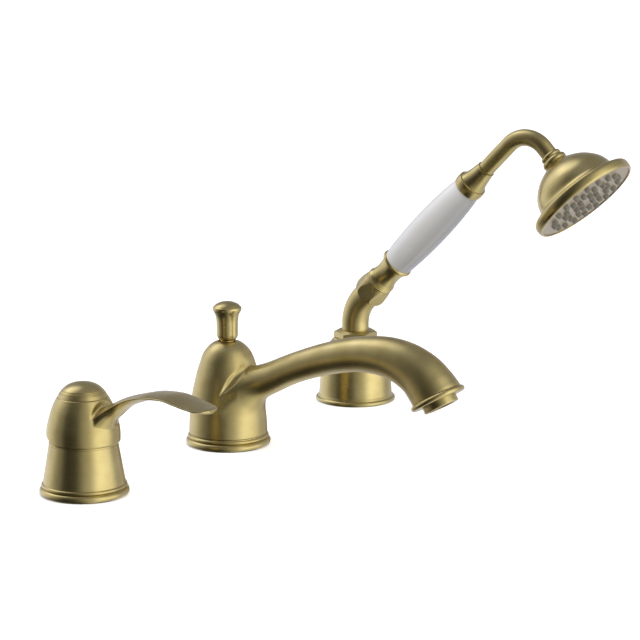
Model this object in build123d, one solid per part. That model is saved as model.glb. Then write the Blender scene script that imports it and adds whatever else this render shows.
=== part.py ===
"""Deck-mounted bath shower mixer in three units: mixing valve, diverter spout and hand shower.

Millimetres, +Z up. The origin is the centre of the spout's foot on the deck, the units stand in
a row along X, and the spout, the lever and the hand shower all reach out along -Y.
"""
import math
import os
from build123d import *

os.makedirs("parts", exist_ok=True)

# The row of units and the deck they clamp to
SPACING = 156.7
DECK_T = 20.0
MIXER_X = -SPACING
SHOWER_X = SPACING

# Clearances
THREAD_GAP = 0.05
RUN_GAP = 0.08
FIT_GAP = 0.2
PART_GAP = 0.4
OVERRUN = 1.0

# Double-beaded foot rings
FOOT_R = 29.0
BEAD_H = 5.0
BEAD_PROUD = 1.8
UPPER_BEAD_R = 27.7
UPPER_BEAD_H = 2.6
UPPER_BEAD_PROUD = 1.0
FOOT_LAND = 0.5
FOOT_RING_H = BEAD_H + UPPER_BEAD_H + FOOT_LAND
FOOT_WALL = 3.6
FOOT_BORE_R = FOOT_R - FOOT_WALL

# Fixing below the deck, alike on the three units
SHANK_R = 16.0
SHANK_BORE_R = 12.8
SHANK_BELOW = 48.0
SHANK_CHAMFER = 0.8
SHANK_NECK_R = 14.9
SHANK_NECK_L = 4.0
GASKET_T = 2.0
UNDER_SEAL_R = 26.0
UNDER_SEAL_T = 2.0
WASHER_R = 27.0
WASHER_T = 1.5
LOCK_NUT_T = 10.0
LOCK_NUT_FLATS = 41.0
NUT_CHAMFER = 1.0
HEX_SIDES = 6

# Mixing valve: body and skirt
FLANGE_T = 4.0
VALVE_R = 20.2
VALVE_FLOOR_T = 5.0
SKIRT_BASE_R = 26.6
SKIRT_TOP_R = 22.4
SKIRT_WALL = 1.9
SKIRT_H = 25.1
SKIRT_TOP_Z = FOOT_RING_H + SKIRT_H
SKIRT_COLLAR_R = 22.1
SKIRT_COLLAR_H = 5.0
SKIRT_COLLAR_ROUND = 0.9
PORT_R = 4.6
PORT_THREAD_L = 6.0
PORT_PITCH_R = 7.3
PORT_COUNT = 3

# Mixing valve: cartridge, from its seals upwards
CARTRIDGE_R = 17.4
CARTRIDGE_WALL = 1.9
CARTRIDGE_INNER_R = CARTRIDGE_R - CARTRIDGE_WALL
PORT_SEAL_T = 1.0
PORT_SEAL_WALL = 1.3
BASE_T = 4.0
BASE_PORT_R = 3.0
FIXED_DISC_T = 4.0
DISC_GAP = 0.05
MOVING_DISC_R = 10.3
MOVING_DISC_T = 3.0
MIXING_POCKET_R = 5.6
MIXING_POCKET_DEPTH = 1.4
DRIVER_HALF_W = 8.0
DRIVER_T = 5.0
DRIVER_POCKET_R = 2.7
ROTOR_PLATE_T = 2.8
ROTOR_NECK_R = 12.9
ROTOR_NECK_H = 10.0
ROTOR_SLOT_HALF_W = 4.6
ROTOR_SLOT_HALF_L = 6.6
HOUSING_SHOULDER_H = 5.2
HOUSING_NECK_WALL = 1.6
HOUSING_NECK_H = 4.0
VALVE_LIP_H = 2.0
PIVOT_RISE = 5.5
PIN_R = 2.0
PIN_HALF_L = 11.5
STEM_BOSS_R = 4.4
STEM_BALL_R = 2.6
STEM_LOWER_R = 1.9
BALL_DROP = 10.5
STEM_SQUARE = 7.6
CARTRIDGE_NUT_FLATS = 34.0
CARTRIDGE_NUT_HEAD_T = 4.4
NUT_BORE_WALL = 1.1

# Mixing valve: hood, lever and cap
HOOD_R = 23.9
HOOD_H = 29.9
HOOD_WALL = 1.3
HOOD_RIM_GAP = 1.1
HOOD_RIM_ROUND = 1.4
HOOD_RIM_Z = SKIRT_TOP_Z + HOOD_RIM_GAP
HOOD_RELIEF_ANGLE = 19.0
HOOD_WEB_T = 2.6
HOOD_BOSS_R = 7.4
HOOD_BOSS_H = 9.0
CAP_R = 16.2
CAP_H = 9.4
CAP_WALL = 1.5
CAP_SPIGOT_WALL = 1.2
CAP_SPIGOT_H = 2.0
CAP_GROOVE_R = 0.35
HANDLE_SCREW_R = 2.0
HANDLE_SCREW_HEAD_R = 3.8
HANDLE_SCREW_HEAD_T = 2.4
HANDLE_SCREW_L = 10.0
LEVER_REACH = 103.3
LEVER_RISE = 37.1
LEVER_HALF_W = 13.0
LEVER_ROOT_DEPTH = 13.0
SCOOP_R = 9.5
SCOOP_OUT = 20.5
SCOOP_Z = 62.0
SCOOP_TILT = 35.0
HOOD_STEM_GAP = 0.9

# Spout: casting
BODY_R = 26.8
BODY_H = 63.8
DOME_HOLE_R = 6.3
SPOUT_REACH = 168.6
SPOUT_CREST_Z = 76.6
SPOUT_TIP_R = 17.1
SPOUT_WALL = 2.3
SPOUT_FILLET_R = 5.0

# Spout: mouth and aerator
TIP_RING_R = 19.0
TIP_RING_T = 3.6
TIP_RING_BULGE = 1.2
AERATOR_R = 12.0
AERATOR_WALL = 1.5
AERATOR_PROUD = 4.6
AERATOR_THREAD_L = 7.0
AERATOR_LIP = 1.4
AERATOR_LIP_T = 1.2
AERATOR_ROUND = 0.8
AERATOR_HOLE_R = 1.0
AERATOR_HOLE_STEP = 3.3
AERATOR_INSERT_T = 7.5
AERATOR_WASHER_T = 1.5

# Spout: diverter
DIVERTER_TRAVEL = 8.0
SPIGOT_R = 18.0
SPIGOT_L = 8.0
CHAMBER_R = 17.0
CHAMBER_TOP_R = 10.0
CHAMBER_TOP_Z = 59.0
CHAMBER_CONE_H = 15.0
CAGE_R = 13.4
CAGE_FLOOR_Z = 10.0
CAGE_FLOOR_T = 2.2
CAGE_FLOW_R = 1.7
CAGE_FLOW_PITCH_R = 10.4
CAGE_TUBE_R = 8.4
CAGE_TUBE_BORE_R = 6.9
LOWER_SEAT_H = 8.0
SEAT_T = 2.0
SEAT_HOLE_R = 6.0
CAGE_POST_R = 1.5
CAGE_POST_PITCH_R = 11.7
CAGE_POST_COUNT = 3
SEAT_DISC_R = 9.4
SEAT_WASHER_T = 2.0
DIVERTER_DISC_T = 2.4
STEM_R = 2.6
STEM_FOOT_R = 3.8
STEM_FOOT_L = 2.4
BUSH_R = 8.2
BUSH_H = 9.0
BUSH_TOP_DROP = 2.0
KNOB_R = 9.9
KNOB_H = 28.3
KNOB_LIFT = 1.0
KNOB_SOCKET_L = 8.0
OUTLET_TUBE_R = 5.2
OUTLET_TUBE_WALL = 1.0

# Tee below the spout
TEE_R = 15.0
TEE_H = 20.0
TEE_SPIGOT_L = 5.0
TEE_WALL = 2.4
TEE_BOSS_R = 9.8
TEE_FLOOR_T = 4.0
HALF_INCH_THREAD_R = 10.48
THREE_EIGHTHS_THREAD_R = 8.33
NIPPLE_L = 12.0
NIPPLE_WALL = 2.6

# Hand shower: holder
HOLDER_R = 28.8
HOLDER_H = 46.0
HOLDER_WALL = 2.2
HOLDER_SEAT_R = 23.6
HOLDER_FLANGE_H = 3.4
HOLDER_FLANGE_PROUD = 1.5
HOLDER_FILLET = 2.0
HOLDER_BODY_R = 26.4
HOLDER_TOP_T = 4.0
HOLDER_TUBE_R = 14.4
GUIDE_R = 12.6
GUIDE_BELOW = 28.0
GUIDE_HEAD_R = 13.6
GUIDE_HEAD_T = 2.0
TAIL_GROOVE_W = 2.0
TAIL_GROOVE_DEPTH = 1.0
TAIL_THREAD_L = 14.0
TAIL_HEAD_R = 12.0
TAIL_HEAD_T = 2.0
TAIL_SPIGOT_R = 6.4
TAIL_SPIGOT_L = 8.0
TAIL_BORE_R = 4.6
ELBOW_WASHER_T = 1.2

# Hand shower: elbow
COLLAR_FLATS = 27.4
COLLAR_H = 5.6
COLLAR_CHAMFER = 2.0
ELBOW_R = 9.7
ELBOW_BEND_R = 28.0
HANDLE_TILT = 45.3
HANDLE_CORNER_Z = 67.8
ELBOW_TAIL = 15.0
ELBOW_THREAD_R = 8.4
ELBOW_THREAD_L = 6.0
UNION_WASHER_T = 1.6

# Hand shower: pieces along the grip, each with its length along the grip's axis
NUT_L = 14.4
NUT_R = 12.2
NUT_FLATS = 21.6
FLARE_L = 23.6
FLARE_RIM_R = 11.9
FLARE_LIP = 1.9
GRIP_L = 84.0
GRIP_R = 12.9
GRIP_SINK = 1.2
GRIP_BORE_R = 6.2
FERRULE_L = 21.6
FERRULE_R = 11.0
FERRULE_BEAD_L = 6.2
FERRULE_BULGE = 0.3
FLARE_GROOVE_R = 0.3
FLARE_GROOVE_STEP = 1.5
HAND_TUBE_R = 5.2
HAND_TUBE_WALL = 1.0
NECK_R = 5.85
NECK_WALL = 1.2
NECK_BEND_R = 19.2
NECK_SINK = 6.0
NECK_RUN_L = 46.0
HEAD_DROP = 68.0
HEAD_TILT = 45.6

# Hand shower: head, measured back from the spray face
HEAD_R = 39.2
HEAD_H = 33.6
HEAD_COLLAR_R = 9.0
HEAD_COLLAR_L = 8.4
HEAD_SPIGOT_R = 7.2
HEAD_SPIGOT_L = 3.0
HEAD_BEAD_L = 5.0
HEAD_BEAD_BULGE = 1.4
HEAD_NECK_BEAD_R = 7.4
HEAD_NECK_STEP = 0.8
HEAD_RIM_WALL = 1.2
HEAD_LEDGE_T = 4.4
HEAD_LEDGE_W = 2.2
FACE_R = 36.2
FACE_T = 2.4
FACE_INSET = 0.6
NOZZLE_R = 2.1
NOZZLE_TIP_R = 1.6
NOZZLE_PROUD = 2.8
NOZZLE_BORE_R = 0.5
NOZZLE_RING_R = 8.4
NOZZLE_RING_STEP = 9.4
NOZZLE_COUNTS = (6, 12, 18)

# Outlines as shares of the piece's radius and height
hood_outline_shares = [(1.0, 0.055), (0.998, 0.22), (0.979, 0.345), (0.941, 0.475), (0.895, 0.61),
                       (0.843, 0.74), (0.772, 0.873), (0.682, 1.0)]
cap_outline_shares = [(1.0, 0.0), (0.93, 0.21), (0.833, 0.436), (0.70, 0.65), (0.494, 0.85), (0.25, 0.965),
                      (0.0, 1.0)]
cap_groove_shares = [(0.905, 0.28), (0.82, 0.465)]
body_outline_shares = [(1.0, 0.0), (0.998, 0.06), (0.985, 0.16), (0.952, 0.30), (0.903, 0.45), (0.851, 0.55),
                       (0.795, 0.647), (0.722, 0.746), (0.642, 0.845), (0.545, 0.911), (0.442, 0.955),
                       (0.34, 0.985)]
knob_skirt_shares = [(0.505, 0.06), (0.616, 0.088), (0.70, 0.135), (0.735, 0.25), (0.74, 0.42), (0.752, 0.54),
                     (0.788, 0.625), (0.85, 0.70), (0.94, 0.757), (0.985, 0.79)]
knob_crown_shares = [(1.0, 0.82), (0.985, 0.86), (0.80, 0.92), (0.45, 0.978), (0.0, 1.0)]
holder_outline_shares = [(1.0, 0.0), (0.985, 0.16), (0.955, 0.38), (0.90, 0.60), (0.83, 0.76), (0.72, 0.90),
                         (0.60, 0.985)]
nut_outline_shares = [(0.80, 0.0), (0.93, 0.07), (0.99, 0.25), (0.995, 0.45), (0.95, 0.72), (0.875, 1.0)]
flare_outline_shares = [(0.89, 0.13), (0.80, 0.24), (0.75, 0.42), (0.77, 0.60), (0.85, 0.80), (0.94, 0.93)]
grip_outline_shares = [(0.83, 0.0), (0.915, 0.13), (0.985, 0.33), (1.0, 0.48), (0.965, 0.70), (0.86, 0.90),
                       (0.77, 1.0)]
ferrule_cone_shares = [(0.87, 0.30), (0.79, 0.42), (0.70, 0.62), (0.635, 0.84), (0.60, 0.94)]
head_outline_shares = [(0.98, 0.03), (0.99, 0.09), (0.99, 0.15), (0.975, 0.20), (0.93, 0.232), (0.86, 0.252),
                       (0.80, 0.28), (0.768, 0.33), (0.745, 0.42), (0.70, 0.56), (0.60, 0.72), (0.455, 0.865),
                       (0.315, 0.955), (0.235, 1.0)]
head_inside_shares = [(0.72, 0.33), (0.70, 0.42), (0.655, 0.55), (0.56, 0.69), (0.42, 0.82), (0.24, 0.905)]

# Lever stations: share of reach, share of rise, share of half width, share of depth below the edge
lever_station_shares = [(0.10, 0.40, 0.52, 1.0), (0.19, 0.665, 0.58, 0.95), (0.285, 0.815, 0.66, 0.75),
                        (0.38, 0.925, 0.80, 0.40), (0.48, 1.0, 0.93, 0.27), (0.58, 1.05, 0.97, 0.20),
                        (0.68, 1.06, 0.98, 0.17), (0.78, 1.02, 1.0, 0.15), (0.88, 0.962, 0.94, 0.14),
                        (0.94, 0.935, 0.76, 0.13), (0.98, 0.94, 0.47, 0.11), (1.0, 0.955, 0.16, 0.09)]
lever_crown_share = 0.085

# Spout stations: share of reach, share of crest height, share of the tip's radius, slope in degrees
spout_station_shares = [(0.035, 0.477, 0.82, 27.0), (0.12, 0.567, 0.735, 25.0), (0.178, 0.623, 0.66, 24.5),
                        (0.228, 0.672, 0.622, 25.0), (0.297, 0.746, 0.60, 24.5), (0.364, 0.809, 0.602, 21.5),
                        (0.493, 0.909, 0.634, 17.0), (0.630, 0.983, 0.686, 9.0), (0.703, 1.0, 0.727, 3.0),
                        (0.778, 0.998, 0.785, -6.5), (0.854, 0.963, 0.849, -19.0), (0.927, 0.885, 0.913, -36.0),
                        (0.975, 0.788, 0.972, -51.0), (1.0, 0.722, 1.0, -60.0)]

# Keel of the lever's section, as shares of its half width and depth; a rounded corner's mid point
keel_shares = (0.76, 0.62)
round_mid_share = 0.293
scoop_flat_share = 0.55

# Heights that the pieces share
VALVE_FLOOR_Z = GASKET_T + FLANGE_T + VALVE_FLOOR_T
BASE_Z = VALVE_FLOOR_Z + PORT_SEAL_T
FIXED_DISC_Z = BASE_Z + BASE_T
MOVING_DISC_Z = FIXED_DISC_Z + FIXED_DISC_T + DISC_GAP
DRIVER_Z = MOVING_DISC_Z + MOVING_DISC_T
ROTOR_Z = DRIVER_Z + DRIVER_T + RUN_GAP
ROTOR_PLATE_TOP_Z = ROTOR_Z + ROTOR_PLATE_T
PIVOT_Z = ROTOR_PLATE_TOP_Z + PIVOT_RISE
SHOULDER_Z = ROTOR_PLATE_TOP_Z + HOUSING_SHOULDER_H
VALVE_TOP_Z = SHOULDER_Z + VALVE_LIP_H
NUT_THREAD_R = VALVE_R - NUT_BORE_WALL
HOOD_TOP_Z = HOOD_RIM_Z + HOOD_H
WEB_TOP_Z = HOOD_TOP_Z - CAP_SPIGOT_H
WEB_LOW_Z = WEB_TOP_Z - HOOD_WEB_T
STEM_TOP_Z = WEB_LOW_Z - HOOD_STEM_GAP
BODY_TOP_Z = FOOT_RING_H + BODY_H
SPIGOT_TOP_Z = FOOT_RING_H + SPIGOT_L
CAGE_FLOOR_TOP_Z = CAGE_FLOOR_Z + CAGE_FLOOR_T
LOWER_SEAT_Z = CAGE_FLOOR_TOP_Z + LOWER_SEAT_H
LOWER_SEAT_TOP_Z = LOWER_SEAT_Z + SEAT_T
VALVE_STACK_T = SEAT_WASHER_T + DIVERTER_DISC_T + SEAT_WASHER_T
STACK_Z = LOWER_SEAT_TOP_Z + DISC_GAP
DIVERTER_DISC_Z = STACK_Z + SEAT_WASHER_T
UPPER_WASHER_Z = DIVERTER_DISC_Z + DIVERTER_DISC_T
UPPER_SEAT_Z = STACK_Z + VALVE_STACK_T + DIVERTER_TRAVEL + RUN_GAP
UPPER_SEAT_TOP_Z = UPPER_SEAT_Z + SEAT_T
BUSH_TOP_Z = BODY_TOP_Z - BUSH_TOP_DROP
KNOB_Z = BUSH_TOP_Z + KNOB_LIFT
TEE_Z = -SHANK_BELOW - TEE_H
TEE_FLOOR_TOP_Z = TEE_Z + TEE_FLOOR_T
TUBE_LOW_Z = TEE_Z + TEE_FLOOR_T / 2
HOLDER_PLATE_Z = HOLDER_H - HOLDER_TOP_T
HOLDER_FOOT_TOP_Z = HOLDER_FLANGE_H + HOLDER_FILLET
TAIL_HEAD_TOP_Z = HOLDER_H + TAIL_HEAD_T
COLLAR_Z = HOLDER_H + FIT_GAP
COLLAR_TOP_Z = COLLAR_Z + COLLAR_H
NUT_S = ELBOW_TAIL
WASHER_S = NUT_S + ELBOW_THREAD_L
WASHER_TOP_S = WASHER_S + UNION_WASHER_T
FLARE_S = NUT_S + NUT_L
GRIP_S = FLARE_S + FLARE_L - GRIP_SINK
FERRULE_S = GRIP_S + GRIP_L - GRIP_SINK
FERRULE_TOP_S = FERRULE_S + FERRULE_L
NECK_S = FERRULE_TOP_S - NECK_SINK
GRIP_AXIS_L = FERRULE_TOP_S + NECK_RUN_L


def frame_at(x, y, z, slope):
    """Local frame whose Z points along -Y, raised by the slope in degrees."""
    angle = math.radians(slope)
    along = (0, -math.cos(angle), math.sin(angle))
    return Plane(origin=(x, y, z), x_dir=(1, 0, 0), z_dir=along)


def flat(point):
    """A (radius, height) point in the upright plane through the axis."""
    radius, height = point
    return (radius, 0, height)


def scaled(shares, radius, height, base=0):
    """Points of an outline given in shares of a radius and a height."""
    return [(radius * across, base + height * up) for across, up in shares]


def turned(start, *steps):
    """Solid turned about Z from a closed outline: points, (middle, end) arcs and [point] curves."""
    edges = []
    here = start
    for step in steps + (start,):
        if isinstance(step, list):
            edges.append(curve_from(here, step))
            here = step[-1]
        elif isinstance(step[0], tuple):
            edges.append(ThreePointArc(flat(here), flat(step[0]), flat(step[1])))
            here = step[1]
        elif step != here:
            edges.append(Line(flat(here), flat(step)))
            here = step
    return revolve(make_face(edges), Axis.Z)


def curve_from(here, points):
    """Smooth curve from here through the points, level where it ends on the axis."""
    path = [flat(point) for point in [here] + points]
    if points[-1][0] != 0:
        return Spline(*path)
    first = Vector(*path[1]) - Vector(*path[0])
    return Spline(*path, tangents=(first.normalized(), (-1, 0, 0)))


def rounded(start, corner, end):
    """Quarter round that replaces a square corner of an outline."""
    across = corner[0] + (start[0] + end[0] - 2 * corner[0]) * round_mid_share
    up = corner[1] + (start[1] + end[1] - 2 * corner[1]) * round_mid_share
    return ((across, up), end)


def ring(bore_r, outer_r, low, high):
    """Plain ring about Z."""
    return turned((bore_r, low), (outer_r, low), (outer_r, high), (bore_r, high))


def disc(outer_r, low, high):
    """Plain disc about Z."""
    return turned((0, low), (outer_r, low), (outer_r, high), (0, high))


def rod_x(radius, half_length, height):
    """Rod along X at a height above the origin."""
    return Pos(0, 0, height) * (Rotation(0, 90, 0) * Cylinder(radius, 2 * half_length))


def around(piece, count):
    """Copies of a piece turned evenly about Z."""
    return [Rotation(0, 0, 360 * index / count) * piece for index in range(count)]


def hexagon(flats, low, high):
    """Hexagonal bar about Z."""
    sketch = Plane.XY.offset(low) * RegularPolygon(flats / 2, HEX_SIDES, major_radius=False)
    return extrude(sketch, high - low)


def hex_nut(flats, bore_r, low, high, chamfer):
    """Hexagonal nut with chamfered corners."""
    corner_r = flats / math.sqrt(3)
    envelope = turned((bore_r, low), (corner_r - chamfer, low), (corner_r, low + chamfer),
                      (corner_r, high - chamfer), (corner_r - chamfer, high), (bore_r, high))
    return hexagon(flats, low, high) & envelope


def save(name, piece, x=0):
    """Writes one node, moved along the row to its unit."""
    export_step(Pos(x, 0, 0) * piece, f"parts/{name}.step")


# Fixing pieces that the three units share


def foot_ring():
    """Ring with a large and a small bead, which stands on the deck."""
    low_r = FOOT_R - BEAD_PROUD
    upper_r = UPPER_BEAD_R - UPPER_BEAD_PROUD
    upper_top = BEAD_H + UPPER_BEAD_H
    return turned((FOOT_BORE_R, 0), (low_r, 0), ((FOOT_R, BEAD_H / 2), (low_r, BEAD_H)), (upper_r, BEAD_H),
                  ((UPPER_BEAD_R, BEAD_H + UPPER_BEAD_H / 2), (upper_r, upper_top)),
                  (upper_r, FOOT_RING_H), (FOOT_BORE_R, FOOT_RING_H))


def deck_gasket(outer_r):
    """Flat seal under a flange, down to the deck."""
    return ring(SHANK_R + PART_GAP, outer_r, 0, GASKET_T)


def threaded_tube():
    """Shank below the flange, with a neck that screws into the part above."""
    tip = -SHANK_BELOW
    neck_top = GASKET_T + SHANK_NECK_L
    return turned((SHANK_BORE_R, tip), (SHANK_R - SHANK_CHAMFER, tip), (SHANK_R, tip + SHANK_CHAMFER),
                  (SHANK_R, GASKET_T), (SHANK_NECK_R, GASKET_T), (SHANK_NECK_R, neck_top), (SHANK_BORE_R, neck_top))


def save_clamps():
    """Seals, washers and lock nuts that clamp the units from below the deck; alike, so they share nodes."""
    bore_r = SHANK_R + THREAD_GAP
    seal_low = -DECK_T - UNDER_SEAL_T
    washer_low = seal_low - WASHER_T
    nut = hex_nut(LOCK_NUT_FLATS, bore_r, washer_low - LOCK_NUT_T, washer_low, NUT_CHAMFER)
    save("under_seals", per_unit(ring(bore_r, UNDER_SEAL_R, seal_low, -DECK_T)))
    save("clamp_washers", per_unit(ring(bore_r, WASHER_R, washer_low, seal_low)))
    save("lock_nuts", per_unit(nut))


def per_unit(piece):
    """One copy of a piece on each of the three units."""
    return Compound([Pos(x, 0, 0) * piece for x in (MIXER_X, 0, SHOWER_X)])


# Mixing valve


def valve_body():
    """Flanged brass body with the cartridge pocket and three threaded ports."""
    flange_r = FOOT_BORE_R - FIT_GAP
    pocket_r = CARTRIDGE_R + FIT_GAP / 2
    counterbore_z = SHOULDER_Z - PART_GAP
    body = turned((0, GASKET_T), (flange_r, GASKET_T), (flange_r, GASKET_T + FLANGE_T),
                  (VALVE_R, GASKET_T + FLANGE_T), (VALVE_R, VALVE_TOP_Z), (NUT_THREAD_R, VALVE_TOP_Z),
                  (NUT_THREAD_R, counterbore_z), (pocket_r, counterbore_z), (pocket_r, VALVE_FLOOR_Z),
                  (0, VALVE_FLOOR_Z))
    socket = ring(SHANK_BORE_R, SHANK_NECK_R + THREAD_GAP, GASKET_T - OVERRUN, GASKET_T + SHANK_NECK_L)
    thread = disc(PORT_R, GASKET_T - OVERRUN, GASKET_T + PORT_THREAD_L)
    port = Pos(0, PORT_PITCH_R, 0) * (thread + disc(BASE_PORT_R, GASKET_T, VALVE_FLOOR_Z + OVERRUN))
    return body - socket - around(port, PORT_COUNT)


def mixer_skirt():
    """Tapered cover from the foot ring up to the hood."""
    return turned((SKIRT_BASE_R - SKIRT_WALL, FOOT_RING_H), (SKIRT_BASE_R, FOOT_RING_H),
                  (SKIRT_TOP_R, SKIRT_TOP_Z), (SKIRT_TOP_R - SKIRT_WALL, SKIRT_TOP_Z))


def skirt_collar():
    """Ring on the valve body that clamps the skirt; it shows behind the hood's raised edge."""
    top = SKIRT_TOP_Z + SKIRT_COLLAR_H
    bore_r = VALVE_R + THREAD_GAP
    low_edge = (SKIRT_COLLAR_R, top - SKIRT_COLLAR_ROUND)
    high_edge = (SKIRT_COLLAR_R - SKIRT_COLLAR_ROUND, top)
    return turned((bore_r, SKIRT_TOP_Z), (SKIRT_COLLAR_R, SKIRT_TOP_Z), low_edge,
                  rounded(low_edge, (SKIRT_COLLAR_R, top), high_edge), (bore_r, top))


def cartridge_base():
    """Foot of the cartridge with its three ways."""
    way = Pos(0, PORT_PITCH_R, 0) * disc(BASE_PORT_R, BASE_Z - OVERRUN, FIXED_DISC_Z + OVERRUN)
    return disc(CARTRIDGE_R, BASE_Z, FIXED_DISC_Z) - around(way, PORT_COUNT)


def port_seals():
    """Three seals between the valve body and the cartridge."""
    seal = Pos(0, PORT_PITCH_R, 0) * ring(BASE_PORT_R, BASE_PORT_R + PORT_SEAL_WALL, VALVE_FLOOR_Z, BASE_Z)
    return Compound(around(seal, PORT_COUNT))


def fixed_ceramic_disc():
    """Lower ceramic disc with its three ways."""
    top = FIXED_DISC_Z + FIXED_DISC_T
    way = Pos(0, PORT_PITCH_R, 0) * disc(BASE_PORT_R, FIXED_DISC_Z - OVERRUN, top + OVERRUN)
    return disc(CARTRIDGE_INNER_R - RUN_GAP, FIXED_DISC_Z, top) - around(way, PORT_COUNT)


def moving_ceramic_disc():
    """Upper ceramic disc with the mixing pocket in its underside."""
    plate = disc(MOVING_DISC_R, MOVING_DISC_Z, DRIVER_Z)
    return plate - disc(MIXING_POCKET_R, MOVING_DISC_Z - OVERRUN, MOVING_DISC_Z + MIXING_POCKET_DEPTH)


def disc_driver():
    """Block on the moving disc with the pocket for the spindle's ball."""
    block = Pos(0, 0, DRIVER_Z + DRIVER_T / 2) * Box(2 * DRIVER_HALF_W, 2 * DRIVER_HALF_W, DRIVER_T)
    return block - disc(DRIVER_POCKET_R, DRIVER_Z - OVERRUN, DRIVER_Z + DRIVER_T + OVERRUN)


def cartridge_housing():
    """Cup over the discs with a neck that guides the rotor."""
    ledge = ROTOR_PLATE_TOP_Z + RUN_GAP
    bore_r = ROTOR_NECK_R + RUN_GAP
    neck_r = bore_r + HOUSING_NECK_WALL
    neck_top = SHOULDER_Z + HOUSING_NECK_H
    return turned((CARTRIDGE_INNER_R, FIXED_DISC_Z), (CARTRIDGE_R, FIXED_DISC_Z), (CARTRIDGE_R, SHOULDER_Z),
                  (neck_r, SHOULDER_Z), (neck_r, neck_top), (bore_r, neck_top), (bore_r, ledge),
                  (CARTRIDGE_INNER_R, ledge))


def cartridge_rotor():
    """Turning carrier with a slot for the spindle and two legs beside the driver."""
    plate_r = CARTRIDGE_INNER_R - RUN_GAP
    top = ROTOR_PLATE_TOP_Z + ROTOR_NECK_H
    leg_low = DRIVER_Z + DISC_GAP
    leg_gap = 2 * (DRIVER_HALF_W + RUN_GAP)
    recess = Pos(0, 0, DRIVER_Z) * Box(leg_gap, 2 * CARTRIDGE_R, 2 * DRIVER_T + 2 * RUN_GAP)
    skirt = disc(plate_r, leg_low, ROTOR_Z) - recess
    block = disc(plate_r, ROTOR_Z, ROTOR_PLATE_TOP_Z) + disc(ROTOR_NECK_R, ROTOR_PLATE_TOP_Z, top)
    slot = Box(2 * ROTOR_SLOT_HALF_W, 2 * ROTOR_SLOT_HALF_L, 2 * top)
    return block - slot - rod_x(PIN_R + THREAD_GAP, ROTOR_NECK_R + OVERRUN, PIVOT_Z) + skirt


def spindle():
    """Tilting stem: a square for the hood, a boss on the pivot and a ball below."""
    boss = rod_x(STEM_BOSS_R, ROTOR_SLOT_HALF_W - RUN_GAP, PIVOT_Z)
    square_h = STEM_TOP_Z - PIVOT_Z
    square = Pos(0, 0, PIVOT_Z + square_h / 2) * Box(STEM_SQUARE, STEM_SQUARE, square_h)
    ball_z = PIVOT_Z - BALL_DROP
    lower = disc(STEM_LOWER_R, ball_z, PIVOT_Z) + Pos(0, 0, ball_z) * Sphere(STEM_BALL_R)
    bore = rod_x(PIN_R + RUN_GAP, ROTOR_NECK_R, PIVOT_Z)
    screw_hole = disc(HANDLE_SCREW_R + THREAD_GAP, STEM_TOP_Z - HANDLE_SCREW_L, STEM_TOP_Z + OVERRUN)
    return boss + square + lower - bore - screw_hole


def cartridge_nut():
    """Nut that holds the cartridge down."""
    bore_r = ROTOR_NECK_R + RUN_GAP + HOUSING_NECK_WALL + FIT_GAP
    head_top = VALVE_TOP_Z + CARTRIDGE_NUT_HEAD_T
    head = hex_nut(CARTRIDGE_NUT_FLATS, bore_r, VALVE_TOP_Z, head_top, NUT_CHAMFER)
    return head + ring(bore_r, NUT_THREAD_R - THREAD_GAP, SHOULDER_Z, VALVE_TOP_Z)


def lever_section(station):
    """Pointed oval section of the lever: a low crown above its edges and a rounded keel below."""
    along, up, across, deep = station
    half = across * LEVER_HALF_W
    depth = deep * LEVER_ROOT_DEPTH
    crown = LEVER_HALF_W * lever_crown_share * across
    y = -along * LEVER_REACH
    z = HOOD_RIM_Z + up * LEVER_RISE
    side, drop = keel_shares
    top = ThreePointArc((-half, y, z), (0, y, z + crown), (half, y, z))
    keel = Spline((half, y, z), (half * side, y, z - depth * drop), (0, y, z - depth),
                  (-half * side, y, z - depth * drop), (-half, y, z))
    return make_face([top, keel])


def relief_cutter():
    """Space under the hood's raised rear edge, which clears the skirt when the lever is up."""
    drop = PIVOT_Z - SKIRT_TOP_Z - PART_GAP
    length = 4 * HOOD_R
    block = Pos(0, 0, -drop - length / 2) * Box(length, length, length)
    return Pos(0, 0, PIVOT_Z) * (Rotation(HOOD_RELIEF_ANGLE, 0, 0) * block)


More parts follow.
